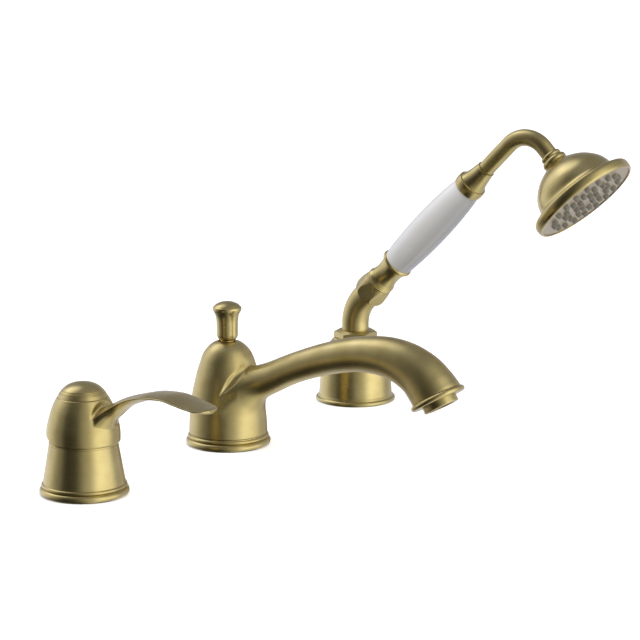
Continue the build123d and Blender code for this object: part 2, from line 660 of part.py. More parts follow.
def hood_lever():
    """Domed hood and curved lever in one casting, hollow, with a square boss for the spindle."""
    rim_low = (HOOD_R - HOOD_RIM_ROUND, HOOD_RIM_Z)
    rim_side = (HOOD_R, HOOD_RIM_Z + HOOD_RIM_ROUND)
    dome = scaled(hood_outline_shares, HOOD_R, HOOD_H, HOOD_RIM_Z)
    outer = turned((0, HOOD_RIM_Z), rim_low, rounded(rim_low, (HOOD_R, HOOD_RIM_Z), rim_side),
                   dome, (0, HOOD_TOP_Z))
    inner_r = HOOD_R - HOOD_WALL
    inside = scaled(hood_outline_shares, inner_r, HOOD_H, HOOD_RIM_Z)
    hollow = turned((0, HOOD_RIM_Z - OVERRUN), (inner_r, HOOD_RIM_Z - OVERRUN), inside, (0, HOOD_TOP_Z))
    hollow = hollow & disc(HOOD_R, HOOD_RIM_Z - OVERRUN, WEB_LOW_Z)
    lever = loft([lever_section(station) for station in lever_station_shares])
    scoop = Pos(0, -SCOOP_OUT, SCOOP_Z) * (Rotation(-SCOOP_TILT, 0, 0) * scoop_shape(SCOOP_R))
    guard = Pos(0, -SCOOP_OUT, SCOOP_Z) * (Rotation(-SCOOP_TILT, 0, 0) * scoop_shape(SCOOP_R + HOOD_WALL))
    boss = disc(HOOD_BOSS_R, WEB_LOW_Z - HOOD_BOSS_H, WEB_LOW_Z)
    socket_side = STEM_SQUARE + FIT_GAP
    socket = Pos(0, 0, WEB_LOW_Z - HOOD_BOSS_H / 2) * Box(socket_side, socket_side, HOOD_BOSS_H)
    cap_bore = disc(CAP_R - CAP_WALL + THREAD_GAP, WEB_TOP_Z, HOOD_TOP_Z + OVERRUN)
    screw_hole = disc(HANDLE_SCREW_R + FIT_GAP, WEB_LOW_Z - OVERRUN, WEB_TOP_Z + OVERRUN)
    shell = (outer - scoop) + lever - (hollow - guard) + boss - socket
    return shell - cap_bore - screw_hole - relief_cutter()


def scoop_shape(radius):
    """Flattened ball that hollows the hood above the root of the lever."""
    return scale(Sphere(radius), by=(1, 1, scoop_flat_share))


def handle_screw():
    """Screw through the hood's web into the spindle."""
    head_top = WEB_TOP_Z + HANDLE_SCREW_HEAD_T
    tip = STEM_TOP_Z - HANDLE_SCREW_L + PART_GAP
    return disc(HANDLE_SCREW_HEAD_R, WEB_TOP_Z, head_top) + disc(HANDLE_SCREW_R, tip, WEB_TOP_Z)


def hood_cap():
    """Hollow domed cap with a spigot and two fine turned grooves."""
    spigot_r = CAP_R - CAP_WALL
    bore_r = spigot_r - CAP_SPIGOT_WALL
    dome = scaled(cap_outline_shares, CAP_R, CAP_H, HOOD_TOP_Z)
    inside = scaled(cap_outline_shares, bore_r, CAP_H - CAP_WALL, HOOD_TOP_Z)
    spigot_z = WEB_TOP_Z
    outer = turned((0, spigot_z), (spigot_r, spigot_z), (spigot_r, HOOD_TOP_Z), (CAP_R, HOOD_TOP_Z), dome[1:])
    hollow = turned((0, spigot_z - OVERRUN), (bore_r, spigot_z - OVERRUN), (bore_r, HOOD_TOP_Z), inside[1:])
    grooves = [Pos(0, 0, HOOD_TOP_Z + up * CAP_H) * Torus(across * CAP_R, CAP_GROOVE_R)
               for across, up in cap_groove_shares]
    return outer - hollow - grooves


def save_mixer():
    """Writes the mixing valve unit."""
    save("mixer_foot_ring", foot_ring(), MIXER_X)
    save("mixer_gasket", deck_gasket(FOOT_BORE_R - FIT_GAP), MIXER_X)
    save("mixer_shank", threaded_tube(), MIXER_X)
    save("mixer_valve_body", valve_body(), MIXER_X)
    save("mixer_skirt", mixer_skirt(), MIXER_X)
    save("skirt_collar", skirt_collar(), MIXER_X)
    save("cartridge_port_seals", port_seals(), MIXER_X)
    save("cartridge_base", cartridge_base(), MIXER_X)
    save("cartridge_housing", cartridge_housing(), MIXER_X)
    save("fixed_ceramic_disc", fixed_ceramic_disc(), MIXER_X)
    save("moving_ceramic_disc", moving_ceramic_disc(), MIXER_X)
    save("disc_driver", disc_driver(), MIXER_X)
    save("cartridge_rotor", cartridge_rotor(), MIXER_X)
    save("spindle_pin", rod_x(PIN_R, PIN_HALF_L, PIVOT_Z), MIXER_X)
    save("spindle", spindle(), MIXER_X)
    save("cartridge_nut", cartridge_nut(), MIXER_X)
    save("hood_lever", hood_lever(), MIXER_X)
    save("handle_screw", handle_screw(), MIXER_X)
    save("hood_cap", hood_cap(), MIXER_X)



# Spout unit


def tip_frame():
    """Frame at the spout's mouth with Z pointing out of it."""
    reach, height, _, slope = spout_station_shares[-1]
    return frame_at(0, -reach * SPOUT_REACH, height * SPOUT_CREST_Z, slope)


def spout_shank():
    """Flanged and threaded tube with the spigot that carries the casting."""
    flange_r = FOOT_BORE_R - FIT_GAP
    cage_r = CAGE_R + THREAD_GAP
    tip = -SHANK_BELOW
    return turned((SHANK_BORE_R, tip), (SHANK_R - SHANK_CHAMFER, tip), (SHANK_R, tip + SHANK_CHAMFER),
                  (SHANK_R, GASKET_T), (flange_r, GASKET_T), (flange_r, FOOT_RING_H), (SPIGOT_R, FOOT_RING_H),
                  (SPIGOT_R, SPIGOT_TOP_Z), (cage_r, SPIGOT_TOP_Z), (cage_r, CAGE_FLOOR_Z),
                  (SHANK_BORE_R, CAGE_FLOOR_Z))


def spout_tube(wall):
    """Curved spout as a loft of round sections, made smaller by a wall."""
    sections = []
    for reach, height, share, slope in spout_station_shares:
        plane = frame_at(0, -reach * SPOUT_REACH, height * SPOUT_CREST_Z, slope)
        sections.append(plane * Circle(share * SPOUT_TIP_R - wall))
    return loft(sections)


def spout_body():
    """Bell-shaped body and curved spout in one casting, with the diverter chamber inside."""
    outline = scaled(body_outline_shares, BODY_R, BODY_H, FOOT_RING_H)
    bell = turned((0, FOOT_RING_H), (BODY_R, FOOT_RING_H), outline[1:], (DOME_HOLE_R, BODY_TOP_Z), (0, BODY_TOP_Z))
    bush_r = BUSH_R + THREAD_GAP
    socket_r = SPIGOT_R + THREAD_GAP
    cone_z = CHAMBER_TOP_Z - CHAMBER_CONE_H
    chamber = turned((0, FOOT_RING_H - OVERRUN), (socket_r, FOOT_RING_H - OVERRUN), (socket_r, SPIGOT_TOP_Z),
                     (CHAMBER_R, SPIGOT_TOP_Z), (CHAMBER_R, cone_z), (CHAMBER_TOP_R, CHAMBER_TOP_Z),
                     (bush_r, CHAMBER_TOP_Z), (bush_r, BUSH_TOP_Z), (DOME_HOLE_R, BUSH_TOP_Z),
                     (DOME_HOLE_R, BODY_TOP_Z + OVERRUN), (0, BODY_TOP_Z + OVERRUN))
    way = spout_tube(SPOUT_WALL) - disc(BODY_R, 0, UPPER_SEAT_TOP_Z)
    joined = bell + spout_tube(0)
    seam = joined.edges().filter_by(is_spout_seam)
    return fillet(seam, SPOUT_FILLET_R) - chamber - way


def is_spout_seam(edge):
    """True for the edge where the spout meets the side of the body."""
    box = edge.bounding_box()
    return box.max.Y < -CHAMBER_TOP_R and box.min.Y > -BODY_R


def diverter_cage():
    """Floor with six ways, lower seat on a tube, and upper seat on three posts."""
    tube = ring(CAGE_TUBE_BORE_R, CAGE_TUBE_R, CAGE_FLOOR_TOP_Z, LOWER_SEAT_Z)
    lower_seat = ring(SEAT_HOLE_R, CAGE_TUBE_R, LOWER_SEAT_Z, LOWER_SEAT_TOP_Z)
    upper_seat = ring(SEAT_HOLE_R, CHAMBER_R - RUN_GAP, UPPER_SEAT_Z, UPPER_SEAT_TOP_Z)
    post = disc(CAGE_POST_R, CAGE_FLOOR_TOP_Z, UPPER_SEAT_Z)
    posts = around(Pos(0, CAGE_POST_PITCH_R, 0) * post, CAGE_POST_COUNT)
    way = disc(CAGE_FLOW_R, CAGE_FLOOR_Z - OVERRUN, CAGE_FLOOR_TOP_Z + OVERRUN)
    spaced = Rotation(0, 0, 180 / HEX_SIDES) * Pos(0, CAGE_FLOW_PITCH_R, 0) * way
    floor = ring(OUTLET_TUBE_R + THREAD_GAP, CAGE_R, CAGE_FLOOR_Z, CAGE_FLOOR_TOP_Z)
    return floor - around(spaced, HEX_SIDES) + tube + lower_seat + posts + upper_seat


def diverter_washers():
    """Rubber washers below and above the diverter's disc."""
    bore_r = STEM_R + THREAD_GAP
    lower = ring(bore_r, SEAT_DISC_R, STACK_Z, DIVERTER_DISC_Z)
    upper = ring(bore_r, SEAT_DISC_R, UPPER_WASHER_Z, UPPER_WASHER_Z + SEAT_WASHER_T)
    return Compound([lower, upper])


def diverter_stem():
    """Stem with the foot that holds the disc; it rises through the bush into the knob."""
    foot_z = STACK_Z - STEM_FOOT_L
    return turned((0, foot_z), (STEM_FOOT_R, foot_z), (STEM_FOOT_R, STACK_Z), (STEM_R, STACK_Z),
                  (STEM_R, KNOB_Z + KNOB_SOCKET_L), (0, KNOB_Z + KNOB_SOCKET_L))


def diverter_knob():
    """Pull-up knob with a flared rim and a low crown."""
    skirt = scaled(knob_skirt_shares, KNOB_R, KNOB_H, KNOB_Z)
    crown = scaled(knob_crown_shares, KNOB_R, KNOB_H, KNOB_Z)
    foot_r = skirt[0][0]
    knob = turned((0, KNOB_Z), (foot_r, KNOB_Z), skirt[0], skirt[1:], crown[0], crown[1], crown[2:])
    return knob - disc(STEM_R + THREAD_GAP, KNOB_Z - OVERRUN, KNOB_Z + KNOB_SOCKET_L)


def spout_manifold():
    """Tee below the deck: inlet at the side, hand shower outlet below, inner tube kept apart."""
    spigot_r = SHANK_BORE_R - THREAD_GAP
    bore_r = spigot_r - TEE_WALL
    spigot_top = TEE_SPIGOT_L - SHANK_BELOW
    block = disc(TEE_R, TEE_Z, -SHANK_BELOW) + disc(spigot_r, -SHANK_BELOW, spigot_top)
    outlet = disc(HALF_INCH_THREAD_R, TEE_Z - NIPPLE_L, TEE_Z)
    inlet_l = TEE_R + NIPPLE_L
    inlet_z = TEE_Z + TEE_H / 2
    inlet = Pos(-inlet_l / 2, 0, inlet_z) * (Rotation(0, 90, 0) * Cylinder(THREE_EIGHTHS_THREAD_R, inlet_l))
    boss = Pos(-TEE_R / 2, 0, inlet_z) * (Rotation(0, 90, 0) * Cylinder(TEE_BOSS_R, TEE_R))
    inlet_way = Pos(-inlet_l / 2 - OVERRUN, 0, inlet_z) * (
        Rotation(0, 90, 0) * Cylinder(THREE_EIGHTHS_THREAD_R - NIPPLE_WALL, inlet_l))
    chamber = disc(bore_r, TEE_FLOOR_TOP_Z, spigot_top + OVERRUN)
    socket = disc(OUTLET_TUBE_R + THREAD_GAP, TUBE_LOW_Z, TEE_FLOOR_TOP_Z + OVERRUN)
    passage = disc(OUTLET_TUBE_R - OUTLET_TUBE_WALL, TEE_Z - OVERRUN, TUBE_LOW_Z + OVERRUN)
    outlet_way = disc(HALF_INCH_THREAD_R - NIPPLE_WALL, TEE_Z - NIPPLE_L - OVERRUN, TEE_Z)
    return block + boss + outlet + inlet - inlet_way - chamber - socket - passage - outlet_way


def tip_ring():
    """Rounded ring round the mouth, which holds the aerator."""
    bore_r = AERATOR_R + THREAD_GAP
    edge_r = TIP_RING_R - TIP_RING_BULGE
    return turned((bore_r, 0), (edge_r, 0), ((TIP_RING_R, TIP_RING_T / 2), (edge_r, TIP_RING_T)),
                  (bore_r, TIP_RING_T))


def aerator_housing():
    """Threaded sleeve with an inward lip at its outer end."""
    low = TIP_RING_T - AERATOR_THREAD_L
    top = TIP_RING_T + AERATOR_PROUD
    bore_r = AERATOR_R - AERATOR_WALL
    side = (AERATOR_R, top - AERATOR_ROUND)
    end = (AERATOR_R - AERATOR_ROUND, top)
    return turned((bore_r, low), (AERATOR_R, low), side, rounded(side, (AERATOR_R, top), end),
                  (bore_r - AERATOR_LIP, top), (bore_r - AERATOR_LIP, top - AERATOR_LIP_T),
                  (bore_r, top - AERATOR_LIP_T))


def aerator_insert():
    """Cartridge with rings of fine ways."""
    top = TIP_RING_T + AERATOR_PROUD - AERATOR_LIP_T
    low = top - AERATOR_INSERT_T
    way = disc(AERATOR_HOLE_R, low - OVERRUN, top + OVERRUN)
    inner = around(Pos(0, AERATOR_HOLE_STEP, 0) * way, HEX_SIDES)
    outer = around(Pos(0, 2 * AERATOR_HOLE_STEP, 0) * way, 2 * HEX_SIDES)
    return disc(AERATOR_R - AERATOR_WALL - THREAD_GAP, low, top) - way - inner - outer


def aerator_washer():
    """Flat washer behind the aerator's insert."""
    top = TIP_RING_T + AERATOR_PROUD - AERATOR_LIP_T - AERATOR_INSERT_T
    outer_r = AERATOR_R - AERATOR_WALL - THREAD_GAP
    return ring(outer_r - 2 * AERATOR_LIP, outer_r, top - AERATOR_WASHER_T, top)


def save_spout():
    """Writes the spout unit."""
    tip = tip_frame().location
    tube_r = OUTLET_TUBE_R - OUTLET_TUBE_WALL
    save("spout_foot_ring", foot_ring())
    save("spout_gasket", deck_gasket(FOOT_BORE_R - FIT_GAP))
    save("spout_shank", spout_shank())
    save("spout_body", spout_body())
    save("spout_manifold", spout_manifold())
    save("diverter_cage", diverter_cage())
    save("diverter_outlet_tube", ring(tube_r, OUTLET_TUBE_R, TUBE_LOW_Z, CAGE_FLOOR_TOP_Z))
    save("diverter_bush", ring(STEM_R + RUN_GAP, BUSH_R, BUSH_TOP_Z - BUSH_H, BUSH_TOP_Z))
    save("diverter_stem", diverter_stem())
    save("diverter_disc", ring(STEM_R + THREAD_GAP, SEAT_DISC_R, DIVERTER_DISC_Z, UPPER_WASHER_Z))
    save("diverter_washers", diverter_washers())
    save("diverter_knob", diverter_knob())
    save("spout_tip_ring", tip * tip_ring())
    save("aerator_housing", tip * aerator_housing())
    save("aerator_insert", tip * aerator_insert())
    save("aerator_washer", tip * aerator_washer())


# Hand shower unit


def holder_body():
    """Bell-shaped holder on a thin rounded foot, open below."""
    edge_r = HOLDER_R - HOLDER_FLANGE_PROUD
    foot_top = (edge_r, HOLDER_FLANGE_H)
    body_low = (HOLDER_BODY_R, HOLDER_FOOT_TOP_Z)
    height = HOLDER_H - HOLDER_FOOT_TOP_Z
    outline = scaled(holder_outline_shares, HOLDER_BODY_R, height, HOLDER_FOOT_TOP_Z)
    inner_r = HOLDER_BODY_R - HOLDER_WALL
    inside = [(across - HOLDER_WALL, up - HOLDER_WALL) for across, up in outline[1:]]
    top_r = outline[-1][0]
    bell = turned((0, 0), (edge_r, 0), ((HOLDER_R, HOLDER_FLANGE_H / 2), foot_top), body_low,
                  outline[1:], (top_r - FIT_GAP, HOLDER_H), (0, HOLDER_H))
    hollow = turned((0, -OVERRUN), (inner_r, -OVERRUN), (inner_r, HOLDER_FOOT_TOP_Z), inside,
                    (0, inside[-1][1])) & disc(HOLDER_R, -OVERRUN, HOLDER_PLATE_Z)
    guide_hole = disc(GUIDE_R + THREAD_GAP, 0, HOLDER_H + OVERRUN)
    head_seat = disc(GUIDE_HEAD_R + THREAD_GAP, HOLDER_H - GUIDE_HEAD_T, HOLDER_H + OVERRUN)
    return bell - hollow - guide_hole - head_seat


def holder_shank():
    """Flanged and threaded tube that stands up inside the holder to its top plate."""
    flange_top = GASKET_T + FLANGE_T
    tip = -SHANK_BELOW
    return turned((SHANK_BORE_R, tip), (SHANK_R - SHANK_CHAMFER, tip), (SHANK_R, tip + SHANK_CHAMFER),
                  (SHANK_R, GASKET_T), (HOLDER_SEAT_R, GASKET_T), (HOLDER_SEAT_R, flange_top),
                  (HOLDER_TUBE_R, flange_top), (HOLDER_TUBE_R, HOLDER_PLATE_Z), (SHANK_BORE_R, HOLDER_PLATE_Z))


def holder_guide():
    """Plastic sleeve in which the end of the hose slides."""
    bore_r = HALF_INCH_THREAD_R + RUN_GAP
    head_low = HOLDER_H - GUIDE_HEAD_T
    return turned((bore_r, -GUIDE_BELOW), (GUIDE_R, -GUIDE_BELOW), (GUIDE_R, head_low), (GUIDE_HEAD_R, head_low),
                  (GUIDE_HEAD_R, HOLDER_H), (bore_r, HOLDER_H))


def hose_tail():
    """Threaded end piece of the hose, with the head and spigot that the elbow turns on."""
    low = -GUIDE_BELOW - TAIL_GROOVE_W - TAIL_THREAD_L
    groove_z = -GUIDE_BELOW - TAIL_GROOVE_W
    groove_r = HALF_INCH_THREAD_R - TAIL_GROOVE_DEPTH
    top = TAIL_HEAD_TOP_Z + TAIL_SPIGOT_L
    chamfer_r = HALF_INCH_THREAD_R - SHANK_CHAMFER
    return turned((TAIL_BORE_R, low), (chamfer_r, low), (HALF_INCH_THREAD_R, low + SHANK_CHAMFER),
                  (HALF_INCH_THREAD_R, groove_z), (groove_r, groove_z), (groove_r, -GUIDE_BELOW),
                  (HALF_INCH_THREAD_R, -GUIDE_BELOW), (HALF_INCH_THREAD_R, HOLDER_H), (TAIL_HEAD_R, HOLDER_H),
                  (TAIL_HEAD_R, TAIL_HEAD_TOP_Z), (TAIL_SPIGOT_R, TAIL_HEAD_TOP_Z), (TAIL_SPIGOT_R, top),
                  (TAIL_BORE_R, top))


def handle_frame():
    """Frame of the handle: its origin where the elbow's two centre lines meet."""
    return frame_at(0, 0, HANDLE_CORNER_Z, HANDLE_TILT)


def elbow_path(low):
    """Centre line of the elbow from a height up to its outer end."""
    end = handle_frame().from_local_coords((0, 0, ELBOW_TAIL))
    return FilletPolyline((0, 0, low), (0, 0, HANDLE_CORNER_Z), end, radius=ELBOW_BEND_R)


def elbow():
    """Bent tube with a faceted collar below and a threaded spigot at its outer end."""
    collar_r = COLLAR_FLATS / math.sqrt(3)
    chamfer_z = COLLAR_TOP_Z - COLLAR_CHAMFER
    envelope = turned((0, COLLAR_Z), (collar_r, COLLAR_Z), (collar_r, chamfer_z),
                      (collar_r - 2 * COLLAR_CHAMFER, COLLAR_TOP_Z), (0, COLLAR_TOP_Z))
    collar = hexagon(COLLAR_FLATS, COLLAR_Z, COLLAR_TOP_Z) & envelope
    tube = sweep(Plane.XY.offset(COLLAR_Z) * Circle(ELBOW_R), elbow_path(COLLAR_Z))
    way = sweep(Plane.XY.offset(COLLAR_Z) * Circle(TAIL_SPIGOT_R + RUN_GAP), elbow_path(COLLAR_Z))
    thread = ring(TAIL_SPIGOT_R + RUN_GAP, ELBOW_THREAD_R, NUT_S, WASHER_S)
    recess_top = TAIL_HEAD_TOP_Z + DISC_GAP + ELBOW_WASHER_T
    recess = disc(TAIL_HEAD_R + PART_GAP, COLLAR_Z - OVERRUN, recess_top)
    return collar + tube + handle_frame().location * thread - way - recess


def handset_nut():
    """Barrel-shaped union nut with six flats."""
    bore_r = ELBOW_THREAD_R + THREAD_GAP
    tube_r = HAND_TUBE_R + THREAD_GAP
    outline = scaled(nut_outline_shares, NUT_R, NUT_L, NUT_S)
    barrel = turned((bore_r, NUT_S), outline[0], outline[1:], (tube_r, FLARE_S), (tube_r, WASHER_TOP_S),
                    (bore_r, WASHER_TOP_S))
    return barrel & hexagon(NUT_FLATS, NUT_S, FLARE_S)


def handset_flare():
    """Trumpet-shaped lower ferrule with two fine grooves and a socket for the grip."""
    tube_r = HAND_TUBE_R + THREAD_GAP
    top = FLARE_S + FLARE_L
    outline = scaled(flare_outline_shares, FLARE_RIM_R, FLARE_L, FLARE_S)
    low_r = outline[0][0]
    socket_r = grip_outline_shares[0][0] * GRIP_R + FIT_GAP
    rim = ((FLARE_RIM_R, top - FLARE_LIP / 2), (FLARE_RIM_R - FIT_GAP, top))
    flare = turned((tube_r, FLARE_S), (low_r, FLARE_S), outline[0], outline[1:], rim,
                   (socket_r, top), (socket_r, GRIP_S), (tube_r, GRIP_S))
    grooves = [Pos(0, 0, FLARE_S + count * FLARE_GROOVE_STEP) * Torus(low_r, FLARE_GROOVE_R) for count in (1, 2)]
    return flare - grooves


def porcelain_grip():
    """Swelling grip with a straight bore."""
    outline = scaled(grip_outline_shares, GRIP_R, GRIP_L, GRIP_S)
    return turned((GRIP_BORE_R, GRIP_S), outline[0], outline[1:], (GRIP_BORE_R, GRIP_S + GRIP_L))


def upper_ferrule():
    """Beaded cone between the grip and the gooseneck."""
    tube_r = HAND_TUBE_R + THREAD_GAP
    neck_r = NECK_R + THREAD_GAP
    edge_r = FERRULE_R - FERRULE_BULGE
    bead_top = FERRULE_S + FERRULE_BEAD_L
    socket_r = grip_outline_shares[-1][0] * GRIP_R + FIT_GAP
    socket_s = FERRULE_S + GRIP_SINK
    cone = scaled(ferrule_cone_shares, FERRULE_R, FERRULE_L, FERRULE_S)
    low_edge = (edge_r, FERRULE_S)
    bead = ((FERRULE_R, FERRULE_S + FERRULE_BEAD_L / 2), (edge_r, bead_top))
    return turned((socket_r, FERRULE_S), low_edge, bead, cone[0], cone[1:], (cone[-1][0], FERRULE_TOP_S),
                  (neck_r, FERRULE_TOP_S), (neck_r, NECK_S), (tube_r, NECK_S), (tube_r, socket_s),
                  (socket_r, socket_s))


def head_frame():
    """Frame at the centre of the spray face with Z pointing back to the gooseneck's bend."""
    corner = handle_frame().from_local_coords((0, 0, GRIP_AXIS_L))
    angle = math.radians(HEAD_TILT)
    back = Vector(0, math.cos(angle), math.sin(angle))
    return Plane(origin=corner - back * HEAD_DROP, x_dir=(1, 0, 0), z_dir=back)


def gooseneck():
    """Bent tube from the ferrule down to the collar of the head."""
    start = handle_frame().from_local_coords((0, 0, NECK_S))
    corner = handle_frame().from_local_coords((0, 0, GRIP_AXIS_L))
    end = head_frame().from_local_coords((0, 0, HEAD_H + HEAD_COLLAR_L / 2))
    path = FilletPolyline(start, corner, end, radius=NECK_BEND_R)
    plane = Plane(origin=start, x_dir=(1, 0, 0), z_dir=corner - start)
    return sweep(plane * Circle(NECK_R), path) - sweep(plane * Circle(NECK_R - NECK_WALL), path)


def head_collar():
    """Collar of two beads, screwed into the head."""
    neck_r = NECK_R + THREAD_GAP
    way_r = NECK_R - NECK_WALL
    seat = HEAD_H + HEAD_COLLAR_L / 2
    bead_top = HEAD_H + HEAD_BEAD_L
    top = HEAD_H + HEAD_COLLAR_L
    edge_r = HEAD_COLLAR_R - HEAD_BEAD_BULGE
    upper_r = HEAD_NECK_BEAD_R - THREAD_GAP
    low = HEAD_H - HEAD_SPIGOT_L
    return turned((way_r, low), (HEAD_SPIGOT_R, low), (HEAD_SPIGOT_R, HEAD_H), (edge_r, HEAD_H),
                  ((HEAD_COLLAR_R, HEAD_H + HEAD_BEAD_L / 2), (edge_r, bead_top)),
                  (upper_r - HEAD_NECK_STEP, bead_top),
                  ((HEAD_NECK_BEAD_R, (bead_top + top) / 2), (upper_r - HEAD_NECK_STEP, top)), (neck_r, top),
                  (neck_r, seat), (way_r, seat))


def head_shell():
    """Bell-shaped head with a rounded rim, a seat for the face and a threaded hole behind."""
    bore_r = FACE_R + FIT_GAP
    hole_r = HEAD_SPIGOT_R + THREAD_GAP
    ledge_r = bore_r - HEAD_LEDGE_W
    outline = scaled(head_outline_shares, HEAD_R, HEAD_H)
    inside = scaled(head_inside_shares, HEAD_R, HEAD_H)
    rim_r = bore_r + HEAD_RIM_WALL
    return turned((bore_r, 0), (rim_r, 0), outline, (hole_r, HEAD_H), (hole_r, inside[-1][1]), inside[-1],
                  inside[::-1][1:], (ledge_r, HEAD_LEDGE_T), (bore_r, HEAD_LEDGE_T))


def nozzle_places():
    """Centres of the nozzles on their rings."""
    places = []
    for index, count in enumerate(NOZZLE_COUNTS):
        radius = NOZZLE_RING_R + index * NOZZLE_RING_STEP
        for step in range(count):
            angle = math.tau * step / count
            places.append((radius * math.cos(angle), radius * math.sin(angle)))
    return places


def face_plate():
    """Spray plate with a hole for every nozzle."""
    top = FACE_INSET + FACE_T
    holes = [Pos(across, up, 0) * disc(NOZZLE_R + THREAD_GAP, 0, top + OVERRUN) for across, up in nozzle_places()]
    return disc(FACE_R, FACE_INSET, top) - holes


def spray_nozzles():
    """Soft sheet behind the plate with its nozzles standing through the holes."""
    low = FACE_INSET + FACE_T
    tip = FACE_INSET - NOZZLE_PROUD
    sheet = disc(FACE_R, low, HEAD_LEDGE_T)
    nozzle = turned((NOZZLE_BORE_R, tip), (NOZZLE_TIP_R, tip), (NOZZLE_R, FACE_INSET), (NOZZLE_R, HEAD_LEDGE_T),
                    (NOZZLE_BORE_R, HEAD_LEDGE_T))
    places = nozzle_places()
    holes = [Pos(across, up, 0) * disc(NOZZLE_R, 0, HEAD_H) for across, up in places]
    nozzles = [Pos(across, up, 0) * nozzle for across, up in places]
    return sheet - holes + nozzles


def save_shower():
    """Writes the hand shower unit."""
    x = SHOWER_X
    handle = handle_frame().location
    head = head_frame().location
    seal_r = HALF_INCH_THREAD_R + PART_GAP
    washer_z = TAIL_HEAD_TOP_Z + DISC_GAP
    save("holder_body", holder_body(), x)
    save("holder_gasket", deck_gasket(HOLDER_SEAT_R), x)
    save("holder_shank", holder_shank(), x)
    save("holder_guide", holder_guide(), x)
    save("hose_tail", hose_tail(), x)
    save("elbow_washer", ring(TAIL_SPIGOT_R + PART_GAP, TAIL_HEAD_R, washer_z, washer_z + ELBOW_WASHER_T), x)
    save("elbow", elbow(), x)
    save("union_washer", handle * ring(HAND_TUBE_R, ELBOW_THREAD_R, WASHER_S, WASHER_TOP_S), x)
    save("handset_nut", handle * handset_nut(), x)
    save("handset_flare", handle * handset_flare(), x)
    save("inner_tube", handle * ring(HAND_TUBE_R - HAND_TUBE_WALL, HAND_TUBE_R, WASHER_TOP_S, NECK_S), x)
    save("porcelain_grip", handle * porcelain_grip(), x)
    save("upper_ferrule", handle * upper_ferrule(), x)
    save("gooseneck", gooseneck(), x)
    save("head_collar", head * head_collar(), x)
    save("head_shell", head * head_shell(), x)
    save("face_plate", head * face_plate(), x)
    save("spray_nozzles", head * spray_nozzles(), x)


save_clamps()
save_mixer()
save_spout()
save_shower()
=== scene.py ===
"""Looks of a bath shower mixer: mixing valve, spout with diverter, and pull-out hand shower.

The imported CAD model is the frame. Most of its nodes stay and get a procedural finish. The hood with
its lever, the collar under it, the spout casting, the union nut, the flared ferrule and the spray
nozzles are modelled here. Sizes are in millimetres and angles in degrees; a mesh is written in metres.

The hood and the casting are each given by one distance, negative inside the metal, and meshed where
it is nil. That lets their forms run into each other with fillets, as on the real castings.
"""

import logging
import math
from collections.abc import Callable
from dataclasses import dataclass, field, replace
from enum import Enum

import bmesh
import bpy
import numpy as np
from mathutils import Matrix, Vector


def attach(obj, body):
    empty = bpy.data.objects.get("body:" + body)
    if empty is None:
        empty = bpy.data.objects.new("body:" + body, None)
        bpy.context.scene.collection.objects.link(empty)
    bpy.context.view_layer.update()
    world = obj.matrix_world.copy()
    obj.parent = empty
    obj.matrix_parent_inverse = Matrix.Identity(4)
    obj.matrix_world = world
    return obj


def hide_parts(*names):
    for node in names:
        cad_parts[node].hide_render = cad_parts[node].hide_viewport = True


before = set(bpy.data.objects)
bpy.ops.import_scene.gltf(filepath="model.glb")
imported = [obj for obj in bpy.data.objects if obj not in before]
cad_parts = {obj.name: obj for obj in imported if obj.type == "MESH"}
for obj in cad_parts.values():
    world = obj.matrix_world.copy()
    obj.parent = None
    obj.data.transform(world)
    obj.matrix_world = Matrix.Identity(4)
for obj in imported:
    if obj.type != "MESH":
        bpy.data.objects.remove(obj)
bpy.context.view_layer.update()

Colour = tuple[float, float, float, float]
Row = tuple[float, ...]
Distance = Callable[[np.ndarray], np.ndarray]

LOG = logging.getLogger("bath_shower_mixer")
MM = 0.001
TINY = 1e-9
FAR = 1e9
WHITE = (1.0, 1.0, 1.0, 1.0)
MIXER_X = -156.7
SPOUT_X = 0.0
SHOWER_X = 156.7


# Nodes and colours


def linear(code: str) -> Colour:
    """Turns an sRGB hex colour into linear light, by the numbers of the sRGB standard.

    Args:
        code: Colour such as "#C8B070".

    Returns:
        Red, green, blue and alpha.
    """
    channels = [int(code[place : place + 2], 16) / 255 for place in (1, 3, 5)]
    light = [c / 12.92 if c <= 0.04045 else ((c + 0.055) / 1.055) ** 2.4 for c in channels]
    return (light[0], light[1], light[2], 1.0)


def add(tree: bpy.types.NodeTree, kind: str, inputs: dict | None = None, **settings) -> bpy.types.Node:
    """Adds a node to a tree with its settings, values and links.

    Args:
        tree: Node tree that gets the node.
        kind: Name of the node's type.
        inputs: Value or output socket for each input, by the input's name or place.
        **settings: Properties of the node.

    Returns:
        The new node.
    """
    node = tree.nodes.new(kind)
    for name, value in settings.items():
        setattr(node, name, value)
    for name, value in (inputs or {}).items():
        if isinstance(value, bpy.types.NodeSocket):
            tree.links.new(value, node.inputs[name])
        else:
            node.inputs[name].default_value = value
    return node


def ramp(node: bpy.types.Node, stops: list[tuple[float, Colour]]) -> bpy.types.NodeSocket:
    """Fills a colour ramp.

    Args:
        node: Colour ramp node.
        stops: Place and colour of each stop, in order.

    Returns:
        The ramp's colour output.
    """
    elements = node.color_ramp.elements
    while len(elements) > 1:
        elements.remove(elements[-1])
    elements[0].position, elements[0].color = stops[0]
    for place, colour in stops[1:]:
        elements.new(place).color = colour
    return node.outputs["Color"]


# Finishes


class Tooling(Enum):
    """How a surface was left by its last tool, which gives the run of its fine lines."""

    TURNED = "turned"
    LINISHED = "linished"
    MOULDED = "moulded"

    @property
    def squeeze(self) -> tuple[float, float, float]:
        """Factors on the coordinates: under 1 along X, a belt's grain is longer that way."""
        return (0.35, 1.0, 1.0) if self is Tooling.LINISHED else (1.0, 1.0, 1.0)


